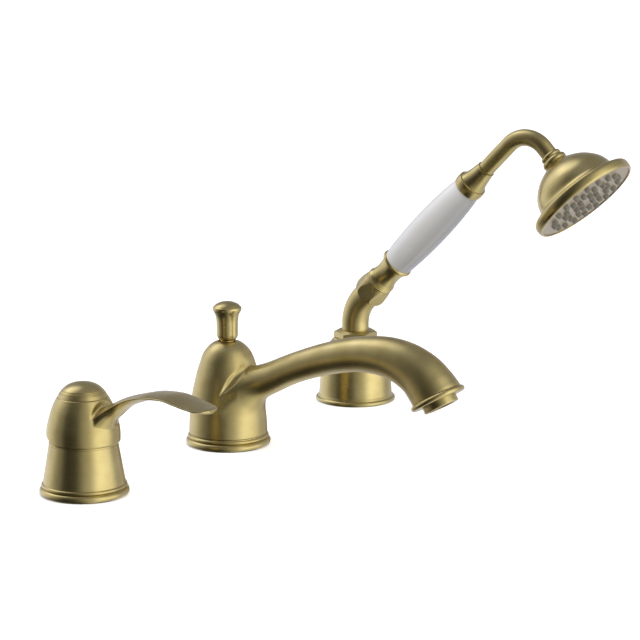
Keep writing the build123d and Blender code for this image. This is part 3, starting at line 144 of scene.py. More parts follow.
@dataclass(frozen=True)
class Axle:
    """Axis that a piece was turned about: a point on it and its lean about X."""

    label: str
    place: tuple[float, float, float]
    lean: float = 0.0

    def local(self, tree: bpy.types.NodeTree) -> bpy.types.NodeSocket:
        """Object coordinates with the axis as Z.

        Args:
            tree: Material tree.

        Returns:
            Vector output, in metres.
        """
        spot = add(tree, "ShaderNodeTexCoord").outputs["Object"]
        inputs = {"Vector": spot, "Location": [value * MM for value in self.place],
                  "Rotation": (math.radians(self.lean), 0, 0)}
        return add(tree, "ShaderNodeMapping", inputs, vector_type="TEXTURE").outputs[0]

    def matrix(self) -> Matrix:
        """Transform from the axis's own frame to the object's, in metres."""
        turn = Matrix.Rotation(math.radians(self.lean), 4, "X")
        return Matrix.Translation(Vector(self.place) * MM) @ turn


MIXER_AXLE = Axle("mixer", (MIXER_X, 0, 0))
SPOUT_AXLE = Axle("spout", (SPOUT_X, 0, 0))
HOLDER_AXLE = Axle("holder", (SHOWER_X, 0, 0))
HANDLE_AXLE = Axle("handle", (SHOWER_X, 0, 67.8), 44.7)
HEAD_AXLE = Axle("head", (SHOWER_X, -189.8035, 162.9395), -44.4)
MOUTH_AXLE = Axle("mouth", (SPOUT_X, -168.6, 55.3052), 150.0)

# How far the noise drifts once round the axis, so that turned lines fade in and out
DRIFT = 1.6
# Finer layers in the noise of the lines and of the clouds
LINE_DETAIL = 2.0
CLOUD_DETAIL = 3.0
# Weight of the lines beside the clouds in the colour
LINES_IN_TONE = 0.12
# Where most of the noise lies, for the colour and for the gloss
TONE_SPAN = (0.35, 0.77)
GLOSS_SPAN = (0.25, 0.75)
# Clear glaze and the light that spreads in the body under it
GLAZE_ROUGHNESS = 0.03
MILK_RADIUS = (0.9, 0.8, 0.7)
MILK_DEPTH = 2.0


def line_noise(tree: bpy.types.NodeTree, spot: bpy.types.NodeSocket, pitch: float, tooling: Tooling
               ) -> bpy.types.NodeSocket:
    """Fine lines that run round the axis of a turned piece, or an even grain on others.

    Args:
        tree: Material tree.
        spot: Coordinates with the piece's axis as Z, in metres.
        pitch: Distance between lines.
        tooling: Run of the lines.

    Returns:
        Noise from 0 to 1.
    """
    per_metre = 1 / (pitch * MM)
    if tooling is not Tooling.TURNED:
        inputs = {0: spot, 1: tooling.squeeze}
        laid = add(tree, "ShaderNodeVectorMath", inputs, operation="MULTIPLY").outputs[0]
        inputs = {"Vector": laid, "Scale": per_metre, "Detail": LINE_DETAIL}
        return add(tree, "ShaderNodeTexNoise", inputs).outputs[0]
    parts = add(tree, "ShaderNodeSeparateXYZ", {0: spot}).outputs
    across = add(tree, "ShaderNodeCombineXYZ", {"X": parts["X"], "Y": parts["Y"]}).outputs[0]
    radius = add(tree, "ShaderNodeVectorMath", {0: across}, operation="LENGTH").outputs["Value"]
    around = add(tree, "ShaderNodeVectorMath", {0: across}, operation="NORMALIZE").outputs[0]
    heading = add(tree, "ShaderNodeSeparateXYZ", {0: around}).outputs["Y"]
    track = add(tree, "ShaderNodeCombineXYZ", {"X": radius, "Y": parts["Z"]}).outputs[0]
    inputs = {0: track, 1: (per_metre,) * 3}
    laid = add(tree, "ShaderNodeVectorMath", inputs, operation="MULTIPLY").outputs[0]
    inputs = {0: around, 1: (DRIFT, 0.0, 0.0), 2: laid}
    place = add(tree, "ShaderNodeVectorMath", inputs, operation="MULTIPLY_ADD").outputs[0]
    fourth = add(tree, "ShaderNodeMath", {0: heading, 1: DRIFT}, operation="MULTIPLY").outputs[0]
    inputs = {"Vector": place, "W": fourth, "Scale": 1.0, "Detail": LINE_DETAIL}
    return add(tree, "ShaderNodeTexNoise", inputs, noise_dimensions="4D").outputs[0]


@dataclass(frozen=True)
class Finish:
    """Surface of one material: its two close tones, gloss, and the lines or grain its tool left.

    The pitch is the distance between lines and the relief their depth. The swing is how much the
    roughness varies, and the cloud the size of the patches of tone.
    """

    name: str
    light: str
    dark: str
    roughness: float
    metallic: float = 0.0
    tooling: Tooling = Tooling.TURNED
    pitch: float = 0.8
    relief: float = 0.004
    swing: float = 0.05
    cloud: float = 14.0
    coat: float = 0.0
    index: float = 1.5
    milky: float = 0.0

    def material(self, axle: Axle) -> bpy.types.Material:
        """Builds the finish for pieces about one axis, or returns the one built before.

        Args:
            axle: Axis of the pieces.

        Returns:
            The material.
        """
        name = f"{self.name}_{axle.label}"
        known = bpy.data.materials.get(name)
        if known:
            return known
        made = bpy.data.materials.new(name)
        made.use_nodes = True
        tree = made.node_tree
        tree.nodes.clear()
        spot = axle.local(tree)
        lines = line_noise(tree, spot, self.pitch, self.tooling)
        inputs = {"Vector": spot, "Scale": 1 / (self.cloud * MM), "Detail": CLOUD_DETAIL}
        clouds = add(tree, "ShaderNodeTexNoise", inputs).outputs[0]
        inputs = {0: lines, 1: LINES_IN_TONE, 2: clouds}
        tone = add(tree, "ShaderNodeMath", inputs, operation="MULTIPLY_ADD").outputs[0]
        inputs = {"Value": tone, "From Min": TONE_SPAN[0], "From Max": TONE_SPAN[1]}
        spread = add(tree, "ShaderNodeMapRange", inputs).outputs[0]
        colour = ramp(add(tree, "ShaderNodeValToRGB", {0: spread}),
                      [(0.0, linear(self.dark)), (1.0, linear(self.light))])
        inputs = {"Value": lines, "From Min": GLOSS_SPAN[0], "From Max": GLOSS_SPAN[1],
                  "To Min": self.roughness - self.swing, "To Max": self.roughness + self.swing}
        rough = add(tree, "ShaderNodeMapRange", inputs).outputs[0]
        inputs = {"Strength": 1.0, "Distance": self.relief * MM, "Height": lines}
        bump = add(tree, "ShaderNodeBump", inputs).outputs[0]
        inputs = {"Base Color": colour, "Roughness": rough, "Normal": bump, "Metallic": self.metallic}
        if not self.metallic:
            inputs["IOR"] = self.index
        if self.coat:
            inputs |= {"Coat Weight": self.coat, "Coat Roughness": GLAZE_ROUGHNESS}
        if self.milky:
            inputs |= {"Subsurface Weight": self.milky, "Subsurface Radius": MILK_RADIUS,
                       "Subsurface Scale": MILK_DEPTH * MM}
        shader = add(tree, "ShaderNodeBsdfPrincipled", inputs)
        add(tree, "ShaderNodeOutputMaterial", {"Surface": shader.outputs[0]})
        return made


# Real brush lines and moulded grain are too fine to show in the render. Here they are drawn 0.4 to 0.7 mm
# apart, as coarse as they need to be to show. Only the waviness of the glaze has its real size.

# Cast brass turned on a lathe, plated in antique bronze and brushed: soft wide highlights, and lines
# round the axis
TURNED_BRASS = Finish("antique_brass_turned", "#DDCB8C", "#CBB878", roughness=0.29, metallic=1.0,
                      pitch=0.5, relief=0.0008, swing=0.03)
# The same plating on bent or cast arms, brushed by a belt along them: an even satin grain
LINISHED_BRASS = replace(TURNED_BRASS, name="antique_brass_linished", roughness=0.36,
                         tooling=Tooling.LINISHED, relief=0.0007)
# Bare turned brass of the inner pieces: yellower and brighter, with coarser tool marks
RAW_BRASS = Finish("raw_turned_brass", "#E6C36A", "#D2AC52", roughness=0.26, metallic=1.0,
                   pitch=0.6, relief=0.006, swing=0.06)
# Satin nickel-bronze spray plate: pale and dull
SPRAY_PLATE = Finish("satin_spray_plate", "#DCCFAE", "#CFC29F", roughness=0.45, metallic=1.0,
                     pitch=0.5, relief=0.001, swing=0.03)
# Glazed porcelain: white body seen through a clear glaze, with a faint orange-peel waviness
PORCELAIN = Finish("glazed_porcelain", "#F1F0EE", "#ECEBE8", roughness=0.12, tooling=Tooling.MOULDED,
                   pitch=5.0, swing=0.02, cloud=22.0, coat=0.7, milky=0.08)
# Moulded rubber of the seals: near black and dull, with a fine grain
RUBBER = Finish("moulded_black_rubber", "#2A2A2B", "#1F1F20", roughness=0.62, tooling=Tooling.MOULDED,
                pitch=0.5, relief=0.01, swing=0.06, cloud=9.0)
# Moulded silicone of the nozzles: warm grey, with a soft sheen
NOZZLE_RUBBER = Finish("moulded_nozzle_silicone", "#BDB9AD", "#A9A599", roughness=0.5,
                       tooling=Tooling.MOULDED, pitch=0.4, relief=0.006, cloud=6.0, index=1.41)
# Moulded acetal of the cartridge and its sleeves: off-white and waxy
CARTRIDGE = Finish("moulded_cartridge_plastic", "#E4E2DC", "#D9D6CE", roughness=0.4,
                   tooling=Tooling.MOULDED, pitch=0.7, relief=0.006)
# Lapped alumina of the discs: cream white, almost polished
CERAMIC = Finish("lapped_alumina", "#F1EEE6", "#E7E3D8", roughness=0.2, tooling=Tooling.MOULDED,
                 pitch=0.6, relief=0.001, swing=0.03, index=1.76)
# Zinc-plated steel of the screw, pin and washers: cool grey, with turned marks
STEEL = Finish("zinc_plated_steel", "#C9CBCC", "#B4B6B8", roughness=0.34, metallic=1.0, pitch=0.5,
               swing=0.07)


# Meshes


def write_mesh(name: str, points: np.ndarray, faces: np.ndarray, normals: np.ndarray | None = None
               ) -> bpy.types.Object:
    """Makes a mesh object from points in millimetres.

    Args:
        name: Name of the piece.
        points: One row for each point.
        faces: One row of four point numbers for each face.
        normals: Normal at each point, or None for the mesh's own.

    Returns:
        The object, at the origin.
    """
    mesh = bpy.data.meshes.new(name)
    mesh.from_pydata((points * MM).tolist(), [], faces.tolist())
    mesh.shade_smooth()
    if normals is not None:
        mesh.normals_split_custom_set_from_vertices(normals.tolist())
    piece = bpy.data.objects.new(name, mesh)
    bpy.context.scene.collection.objects.link(piece)
    return piece


def lathe(name: str, outline: list[Row], steps: int, flats: float = math.inf, turn: float = 0.0
          ) -> bpy.types.Object:
    """Turns a closed outline about Z, and cuts six flats on it where it is wider than they are.

    Args:
        name: Name of the piece.
        outline: Radius and height of each point, counter-clockwise.
        steps: Sides round the axis.
        flats: Distance across the flats, or infinity for none.
        turn: Place of the first flat's middle.

    Returns:
        The object.
    """
    angles = np.arange(steps) * math.tau / steps
    sixth = math.tau / 6
    off_middle = (angles - math.radians(turn) + sixth / 2) % sixth - sixth / 2
    limit = flats / 2 / np.cos(off_middle)
    rings = []
    for radius, height in outline:
        reach = np.minimum(radius, limit)
        rings.append(np.stack([reach * np.cos(angles), reach * np.sin(angles), np.full(steps, height)], 1))
    side = np.arange(steps)
    after = (side + 1) % steps
    faces = []
    for row in range(len(outline)):
        low, high = row * steps, (row + 1) % len(outline) * steps
        faces.append(np.stack([low + side, low + after, high + after, high + side], 1))
    return write_mesh(name, np.concatenate(rings), np.concatenate(faces))


def crease(piece: bpy.types.Object, angle: float = 30.0) -> None:
    """Keeps a piece's edges crisp where its faces meet at more than an angle.

    Args:
        piece: The piece.
        angle: The angle.
    """
    shell = bmesh.new()
    shell.from_mesh(piece.data)
    for edge in shell.edges:
        edge.smooth = edge.calc_face_angle(0.0) < math.radians(angle)
    shell.to_mesh(piece.data)
    shell.free()


def between(t: np.ndarray, start: float, end: float, first: np.ndarray, second: np.ndarray) -> np.ndarray:
    """Passes in a straight line from a first point to a second as t goes from start to end."""
    return (end - t) / (end - start) * first + (t - start) / (end - start) * second


def smooth_curve(points: tuple[Row, ...] | list[Row], per: int = 8) -> np.ndarray:
    """Smooth curve through points, which doesn't swing out where they are unevenly spaced.

    Args:
        points: Points to pass through.
        per: New points for each run.

    Returns:
        Points along the curve.
    """
    given = np.array(points, dtype=float)
    padded = np.vstack([2 * given[0] - given[1], given, 2 * given[-1] - given[-2]])
    lengths = np.linalg.norm(np.diff(padded, axis=0), axis=1)
    knots = np.concatenate([[0], np.cumsum(np.sqrt(lengths))])
    out = []
    for i in range(1, len(padded) - 2):
        t = np.linspace(knots[i], knots[i + 1], per, endpoint=False)[:, None]
        p, k = padded[i - 1 : i + 3], knots[i - 1 : i + 3]
        a = [between(t, k[j], k[j + 1], p[j], p[j + 1]) for j in range(3)]
        b = [between(t, k[j], k[j + 2], a[j], a[j + 1]) for j in range(2)]
        out.append(between(t, k[1], k[2], b[0], b[1]))
    return np.vstack(out + [given[-1:]])


def quarter(start: float, steps: int) -> np.ndarray:
    """Angles of a rounded edge in radians, from a start to a quarter turn."""
    return np.linspace(start, math.pi / 2, steps)


# Distances


def blend_min(a: np.ndarray, b: np.ndarray, width: float | np.ndarray) -> np.ndarray:
    """Joins two solids with a fillet: the lesser of two distances, smoothed over a width."""
    mix = np.clip(0.5 + 0.5 * (b - a) / width, 0, 1)
    return b + (a - b) * mix - width * mix * (1 - mix)


def blend_max(a: np.ndarray, b: np.ndarray, width: float | np.ndarray) -> np.ndarray:
    """Keeps what is in both solids, with a rounded edge."""
    return -blend_min(-a, -b, width)


def smooth_step(value: np.ndarray, low: float, high: float) -> np.ndarray:
    """Rises smoothly from 0 at low to 1 at high."""
    share = np.clip((value - low) / (high - low), 0, 1)
    return share * share * (3 - 2 * share)


def cylinder(points: np.ndarray, radius: float, low: float, high: float) -> np.ndarray:
    """Distance from a cylinder about Z."""
    side = np.hypot(points[:, 0], points[:, 1]) - radius
    return np.maximum(side, np.maximum(low - points[:, 2], points[:, 2] - high))


def grid(first: np.ndarray, second: np.ndarray) -> np.ndarray:
    """Pairs every value of one row with every value of another, one pair in a row."""
    return np.stack(np.meshgrid(first, second, indexing="ij"), -1).reshape(-1, 2)


def from_run(spot: np.ndarray, start: np.ndarray, end: np.ndarray) -> tuple[np.ndarray, np.ndarray]:
    """Nearest place on a straight run.

    Args:
        spot: Points.
        start: Start of the run.
        end: End of the run.

    Returns:
        How far along the run the place is, from 0 to 1, and the way from it to each point.
    """
    run = end - start
    share = np.clip(((spot - start) @ run) / (run @ run), 0, 1)
    return share, spot - start - share[:, None] * run


def read_tables(tables: list[np.ndarray], place: np.ndarray) -> tuple[list[np.ndarray], np.ndarray]:
    """Reads tables between their entries.

    Args:
        tables: Tables of one shape.
        place: Row and column of each point, which may lie outside.

    Returns:
        Values from each table, and how far each point lies outside the tables.
    """
    held = np.clip(place, 0, np.array(tables[0].shape) - 1.001)
    cell = held.astype(int)
    part = held - cell
    values = []
    for table in tables:
        corners = [table[cell[:, 0] + i, cell[:, 1] + j] for i in (0, 1) for j in (0, 1)]
        near = corners[0] * (1 - part[:, 1]) + corners[1] * part[:, 1]
        far = corners[2] * (1 - part[:, 1]) + corners[3] * part[:, 1]
        values.append(near * (1 - part[:, 0]) + far * part[:, 0])
    return values, np.linalg.norm(place - held, axis=1)


class Outline:
    """Distance to a solid turned about Z, from a table over radius and height."""

    STEP = 0.25
    MARGIN = 6.0
    PAST_AXIS = 1.0

    def __init__(self, points: list[Row]) -> None:
        """Works out the table.

        Args:
            points: Closed outline from the axis round to the axis, radius and height of each point.
        """
        line = np.array(points, dtype=float)
        self.low = np.array([-self.PAST_AXIS, line[:, 1].min() - self.MARGIN])
        sizes = np.ceil((line.max(axis=0) + self.MARGIN - self.low) / self.STEP).astype(int) + 1
        radii, heights = (low + np.arange(size) * self.STEP for low, size in zip(self.low, sizes))
        spot = grid(radii, heights)
        spot[:, 0] = np.abs(spot[:, 0])
        best = np.full(len(spot), FAR)
        inside = np.zeros(len(spot), dtype=bool)
        for start, end in zip(line, np.roll(line, -1, axis=0)):
            if start[0] < TINY and end[0] < TINY:
                continue
            best = np.minimum(best, np.linalg.norm(from_run(spot, start, end)[1], axis=1))
            crossing = (start[1] > spot[:, 1]) != (end[1] > spot[:, 1])
            run = end - start
            rise = run[1] if run[1] else TINY
            inside ^= crossing & (start[0] + (spot[:, 1] - start[1]) / rise * run[0] > spot[:, 0])
        self.table = np.where(inside, -best, best).reshape(sizes)

    def distance(self, points: np.ndarray) -> np.ndarray:
        """Distance from the solid.

        Args:
            points: Where it is wanted.

        Returns:
            One distance for each point, negative inside the solid.
        """
        flat = np.stack([np.hypot(points[:, 0], points[:, 1]), points[:, 2]], 1)
        (value,), outside = read_tables([self.table], (flat - self.low) / self.STEP)
        return value + outside * self.STEP


# Rounds of moving the points of a net onto its surface, the most that one moves in a round as a share of
# a cell, and the least square of the slope that is counted on
ROUNDS = 3
MOST_MOVE = 0.35
LEAST_SQUARE = 0.25


def cell_points(values: np.ndarray) -> tuple[np.ndarray, np.ndarray]:
    """Puts a point in each cell that the surface passes through, amid its crossings of the edges.

    Args:
        values: Distance at each corner of the cells.

    Returns:
        Place of each point in cells, and the number of each cell's point, or -1 for none.
    """
    cells = tuple(size - 1 for size in values.shape)
    total = np.zeros(cells + (3,))
    count = np.zeros(cells)
    for axis in range(3):
        others = [other for other in range(3) if other != axis]
        for shift in ((0, 0), (0, 1), (1, 0), (1, 1)):
            first = [slice(0, size) for size in cells]
            for other, move in zip(others, shift):
                first[other] = slice(move, move + cells[other])
            second = list(first)
            second[axis] = slice(1, 1 + cells[axis])
            a, b = values[tuple(first)], values[tuple(second)]
            crossed = (a < 0) != (b < 0)
            count += crossed
            total[..., axis] += np.where(crossed, a / np.where(crossed, a - b, 1), 0)
            for other, move in zip(others, shift):
                total[..., other] += np.where(crossed, move, 0)
    used = count > 0
    number = np.full(cells, -1)
    number[used] = np.arange(used.sum())
    return np.argwhere(used) + total[used] / count[used][:, None], number


def cell_faces(inside: np.ndarray, number: np.ndarray) -> np.ndarray:
    """Joins the points of the four cells round each edge that the surface crosses.

    Args:
        inside: Whether each corner of the cells is in the solid.
        number: Number of each cell's point.

    Returns:
        Faces of four points, which look outwards.
    """
    cells = number.shape
    faces = []
    for axis in range(3):
        b, c = (axis + 1) % 3, (axis + 2) % 3
        first = [slice(None)] * 3
        first[axis] = slice(0, cells[axis])
        second = list(first)
        second[axis] = slice(1, cells[axis] + 1)
        edge = np.argwhere(inside[tuple(first)] != inside[tuple(second)])
        edge = edge[(edge[:, b] > 0) & (edge[:, c] > 0) & (edge[:, b] < cells[b]) & (edge[:, c] < cells[c])]
        quad = []
        for move_b, move_c in ((-1, -1), (0, -1), (0, 0), (-1, 0)):
            cell = edge.copy()
            cell[:, b] += move_b
            cell[:, c] += move_c
            quad.append(number[tuple(cell.T)])
        quad = np.stack(quad, 1)
        turned = ~inside[tuple(edge.T)]
        quad[turned] = quad[turned][:, ::-1]
        faces.append(quad)
    return np.concatenate(faces)


def gradient(distance: Distance, points: np.ndarray, reach: float = 0.2) -> np.ndarray:
    """Slope of a distance at points.

    Args:
        distance: Function from points to their distances.
        points: Where the slope is wanted.
        reach: Half the length that it is taken over.

    Returns:
        One vector for each point.
    """
    columns = []
    for axis in range(3):
        move = np.zeros(3)
        move[axis] = reach
        columns.append((distance(points + move) - distance(points - move)) / (2 * reach))
    return np.stack(columns, 1)


def net(distance: Distance, low: Row, high: Row, step: float) -> tuple[np.ndarray, np.ndarray, np.ndarray]:
    """Meshes the surface where a distance is nil, with one point in each cell it passes through.

    Args:
        distance: Function from points to their distances.
        low: Lowest corner of the space.
        high: Highest corner of the space.
        step: Size of a cell.

    Returns:
        Points, faces of four points, and the normal at each point.
    """
    axes = [np.arange(start, end + step, step) for start, end in zip(low, high)]
    plane = grid(axes[1], axes[2])
    values = np.empty(tuple(len(axis) for axis in axes))
    for row, x in enumerate(axes[0]):
        values[row] = distance(np.column_stack([np.full(len(plane), x), plane])).reshape(values.shape[1:])
    spots, number = cell_points(values)
    points = np.array(low) + spots * step
    for _ in range(ROUNDS):
        slope = gradient(distance, points)
        square = np.maximum((slope * slope).sum(1), LEAST_SQUARE)
        move = slope * (distance(points) / square)[:, None]
        length = np.maximum(np.linalg.norm(move, axis=1), TINY)
        points -= move * np.minimum(1, MOST_MOVE * step / length)[:, None]
    slope = gradient(distance, points)
    return points, cell_faces(values < 0, number), slope / np.linalg.norm(slope, axis=1)[:, None]


# Sub-assemblies


@dataclass
class SubAssembly:
    """Group of CAD nodes with their finishes and the axis that each was made about."""

    nodes: dict[str, tuple[Finish, Axle]] = field(default_factory=dict)

    def give(self, finish: Finish, axle: Axle, *names: str) -> None:
        """Notes the finish and the axis of CAD nodes."""
        self.nodes |= {name: (finish, axle) for name in names}

    def dress(self) -> None:
        """Gives the CAD nodes their finishes."""
        for name, (finish, axle) in self.nodes.items():
            made = finish.material(axle)
            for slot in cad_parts[name].material_slots:
                slot.material = made
            LOG.info("%s: %s", name, made.name)

    def place(self, piece: bpy.types.Object, body: str, slot: str, finish: Finish, axle: Axle,
              *nodes: str) -> None:
        """Finishes a piece made here and ties it to the frame.

        Args:
            piece: The piece, already in place.
            body: CAD body it rides on.
            slot: Material slot in the record; not used.
            finish: Its surface.
            axle: Axis it was made about.
            *nodes: CAD nodes that it stands for.
        """
        piece.data.materials.clear()
        piece.data.materials.append(finish.material(axle))
        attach(piece, body)
        if nodes:
            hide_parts(*nodes)
        LOG.info("%s: %d faces on %s", piece.name, len(piece.data.polygons), body)


@dataclass
class MixingValve(SubAssembly):
    """Mixing valve: foot, skirt, cartridge, and the hood with its lever.

    The outline gives the hood's side as shares of its radius and height. Each lever station gives the
    share of the reach, the height of the crest, the share of the half width, the drop of the arched
    top to its edges, and the depth of the rounded keel.
    """

    hood_r: float = 23.9
    hood_h: float = 29.9
    wall: float = 1.3
    rim_z: float = 34.3
    rim_round: float = 1.4
    mouth_drop: float = 3.0
    top_z: float = 64.2
    outline: tuple[Row, ...] = (
        (1.0, 0.055), (0.998, 0.22), (0.979, 0.345), (0.941, 0.475), (0.895, 0.61), (0.843, 0.74),
        (0.772, 0.873), (0.682, 1.0))
    cap_joint: float = 0.4
    cap_bore_r: float = 14.75
    web_top: float = 62.2
    web_low: float = 59.6
    boss_r: float = 7.4
    boss_h: float = 9.0
    boss_lap: float = 0.5
    socket: float = 7.8
    screw_r: float = 2.2
    overrun: float = 1.0
    relief_angle: float = 19.0
    relief_drop: float = 2.83
    pivot_z: float = 36.43
    reach: float = 103.3
    half_w: float = 13.0
    stations: tuple[Row, ...] = (
        (0.10, 49.7, 0.80, 4.5, 6.5), (0.19, 59.6, 0.85, 4.2, 8.0), (0.285, 65.2, 0.76, 3.0, 7.2),
        (0.38, 69.5, 0.83, 1.9, 4.2), (0.48, 72.4, 0.93, 1.03, 3.5), (0.58, 74.3, 0.97, 1.07, 2.6),
        (0.68, 74.7, 0.98, 1.08, 2.2), (0.78, 73.2, 1.0, 1.1, 1.95), (0.88, 71.0, 0.94, 1.04, 1.8),
        (0.94, 69.9, 0.84, 0.9, 2.0), (0.98, 69.5, 0.60, 0.6, 1.9), (1.0, 69.1, 0.26, 0.2, 1.5))
    least_half: float = 0.05
    keel_power: float = 2.3
    slope_fade: float = 4.0
    edge: float = 0.9
    edge_round: float = 0.5
    share_limit: float = 1.7
    floor_share: float = 1.08
    root_room: float = 6.0
    root_span: Row = (-34.0, -22.0)
    fillet: Row = (2.5, 8.0)
    fillet_heights: Row = (41.0, 51.0)
    fillet_left: float = 0.1
    fillet_depths: Row = (-0.5, 4.0)
    wall_y: float = -16.4
    cove: float = 4.0
    pocket_round: float = 0.7
    collar_bore: float = 20.5
    collar_r: float = 22.1
    collar_z: float = 33.2
    collar_top: float = 38.2
    collar_crown: float = 0.9
    band_r: float = 22.4
    band_z: float = 34.5
    band_edge: float = 0.15
    band_slope: float = 0.25
    collar_steps: int = 160
    step: float = 0.45
    margin: float = 1.2
    tip_margin: float = 1.5
    space_top: float = 76.826

    def __post_init__(self) -> None:
        """Lists the CAD nodes' finishes, and works out the hood's outlines and the lever's run."""
        self.give(TURNED_BRASS, MIXER_AXLE, "mixer_foot_ring", "mixer_skirt", "hood_cap")
        self.give(RAW_BRASS, MIXER_AXLE, "mixer_valve_body", "mixer_shank", "cartridge_nut", "spindle",
                  "lock_nuts")
        self.give(CARTRIDGE, MIXER_AXLE, "cartridge_base", "cartridge_housing", "disc_driver",
                  "cartridge_rotor")
        self.give(RUBBER, MIXER_AXLE, "mixer_gasket", "cartridge_port_seals", "under_seals")
        self.give(STEEL, MIXER_AXLE, "spindle_pin", "handle_screw", "clamp_washers")
        self.give(CERAMIC, MIXER_AXLE, "fixed_ceramic_disc", "moving_ceramic_disc")
        rim = [(self.hood_r - self.rim_round * (1 - math.sin(a)),
                self.rim_z + self.rim_round * (1 - math.cos(a))) for a in quarter(0, 6)]
        side = [point for point in self.dome(self.hood_r) if point[1] < self.top_z - self.cap_joint]
        edge = (side[-1][0] - 2 * self.cap_joint, self.top_z)
        self.outer = Outline([(0, self.rim_z)] + rim + side + [edge, (0, self.top_z)])
        inner_r, mouth_z = self.hood_r - self.wall, self.rim_z - self.mouth_drop
        side = [point for point in self.dome(inner_r) if point[1] < self.web_low]
        self.inner = Outline([(0, mouth_z), (inner_r, mouth_z)] + side
                             + [(side[-1][0], self.web_low), (0, self.web_low)])
        rows = smooth_curve(self.stations, 12)[::-1]
        self.along = -rows[:, 0] * self.reach
        crest, arch, keel = rows[:, 1], rows[:, 3], rows[:, 4]
        half = np.maximum(rows[:, 2], self.least_half) * self.half_w
        self.profile = (crest, half, arch, keel)
        self.slopes = [np.gradient(row, self.along) for row in (crest, half, crest - arch - keel)]

    def dome(self, radius: float) -> list[Row]:
        """Side of the hood for an outer or inner radius."""
        points = [(share * radius, self.rim_z + up * self.hood_h) for share, up in self.outline]
        return [tuple(row) for row in smooth_curve(points)]

    def eased(self, gap: np.ndarray, slope: np.ndarray) -> np.ndarray:
        """Turns a height above a sloping face into a distance near it, and less so further off."""
        return gap / (1 + (slope - 1) * np.exp(-np.maximum(gap, 0) / self.slope_fade))

    def lever(self, points: np.ndarray) -> tuple[np.ndarray, np.ndarray]:
        """Distance from the lever, an arched top over a rounded keel, and from its top alone.

        Args:
            points: Where the distances are wanted.

        Returns:
            Distance from the lever, and distance above its top.
        """
        y = np.clip(points[:, 1], self.along[0], self.along[-1])
        crest, half, arch, keel = (np.interp(y, self.along, row) for row in self.profile)
        climb, widen, sink = (np.interp(y, self.along, row) for row in self.slopes)
        share = np.minimum(np.abs(points[:, 0]) / half, self.share_limit)
        top = crest - arch * share**2
        low = crest - arch - self.edge - keel * (1 - share**self.keel_power)
        top_across = 2 * arch * share / half
        low_across = self.keel_power * keel * share ** (self.keel_power - 1) / half
        top_slope = np.sqrt(1 + top_across**2 + (climb + top_across * share * widen) ** 2)
        low_slope = np.sqrt(1 + low_across**2 + (sink - low_across * share * widen) ** 2)
        over = (points[:, 2] - crest + arch * np.minimum(share, self.floor_share) ** 2) / top_slope
        above = self.eased(points[:, 2] - top, top_slope)
        below = self.eased(low - points[:, 2], low_slope)
        side = np.abs(points[:, 0]) - half - self.root_room * smooth_step(y, *self.root_span)
        blade = blend_max(above, below, self.edge_round)
        blade = blend_max(blade, side / np.sqrt(1 + widen**2), self.edge_round)
        ends = np.maximum(self.along[0] - points[:, 1], points[:, 1] - self.along[-1])
        return np.maximum(blade, ends), over

    def distance(self, points: np.ndarray) -> np.ndarray:
        """Distance from the hood with its lever, in the valve's own frame.

        The fillet between them widens upwards and almost ends above the lever, where a pocket with a
        cove runs back to an upright wall.

        Args:
            points: Where it is wanted.

        Returns:
            One distance for each point, negative inside the metal.
        """
        blade, over = self.lever(points)
        thin, thick = self.fillet
        width = thin + (thick - thin) * smooth_step(points[:, 2], *self.fillet_heights)
        width *= self.fillet_left + (1 - self.fillet_left) * smooth_step(-over, *self.fillet_depths)
        solid = blend_min(self.outer.distance(points), blade, width)
        front = points[:, 1] - self.wall_y
        solid = blend_max(solid, -blend_max(front, -over, self.cove), self.pocket_round)
        guard = blend_max(front - self.wall, -over - self.wall, self.cove)
        solid = np.maximum(solid, -np.maximum(self.inner.distance(points), -guard))
        boss = cylinder(points, self.boss_r, self.web_low - self.boss_h, self.web_low + self.boss_lap)
        solid = np.minimum(solid, boss)
        square = np.maximum(np.abs(points[:, 0]), np.abs(points[:, 1])) - self.socket / 2
        square = np.maximum(square, points[:, 2] - self.web_low)
        bore = cylinder(points, self.cap_bore_r, self.web_top, self.top_z + 2 * self.overrun)
        hole = cylinder(points, self.screw_r, self.web_low - self.overrun, self.web_top + self.overrun)
        lean = math.radians(self.relief_angle)
        above = -points[:, 1] * math.sin(lean) + (points[:, 2] - self.pivot_z) * math.cos(lean)
        cut = np.minimum(np.minimum(square, bore), np.minimum(hole, above + self.relief_drop))
        return np.maximum(solid, -cut)

    def collar(self) -> None:
        """Models the ring that shows as a fine band between the hood and the skirt."""
        crown, slope = self.collar_crown, self.band_slope
        outline = [(self.collar_bore, self.collar_z), (self.band_r - self.band_edge, self.collar_z),
                   (self.band_r, self.collar_z + self.band_edge), (self.band_r, self.band_z),
                   (self.collar_r, self.band_z + slope), (self.collar_r, self.collar_top - crown),
                   (self.collar_r - crown / 3, self.collar_top - slope),
                   (self.collar_r - crown, self.collar_top), (self.collar_bore, self.collar_top)]
        piece = lathe("collar_band", outline, self.collar_steps)
        crease(piece)
        piece.data.transform(MIXER_AXLE.matrix())
        self.place(piece, "base", "antique_brass", TURNED_BRASS, MIXER_AXLE, "skirt_collar")

    def build(self) -> None:
        """Models the hood with its lever, and the collar under it."""
        self.collar()
        low = (-self.hood_r - self.margin, -self.reach - self.tip_margin, self.rim_z - self.margin)
        high = (self.hood_r + self.margin, self.hood_r + self.margin, self.space_top)
        points, faces, normals = net(self.distance, low, high, self.step)
        points[:, 0] += MIXER_X
        piece = write_mesh("hood_with_lever", points, faces, normals)
        self.place(piece, "mixer_handle", "antique_brass", TURNED_BRASS, MIXER_AXLE, "hood_lever")


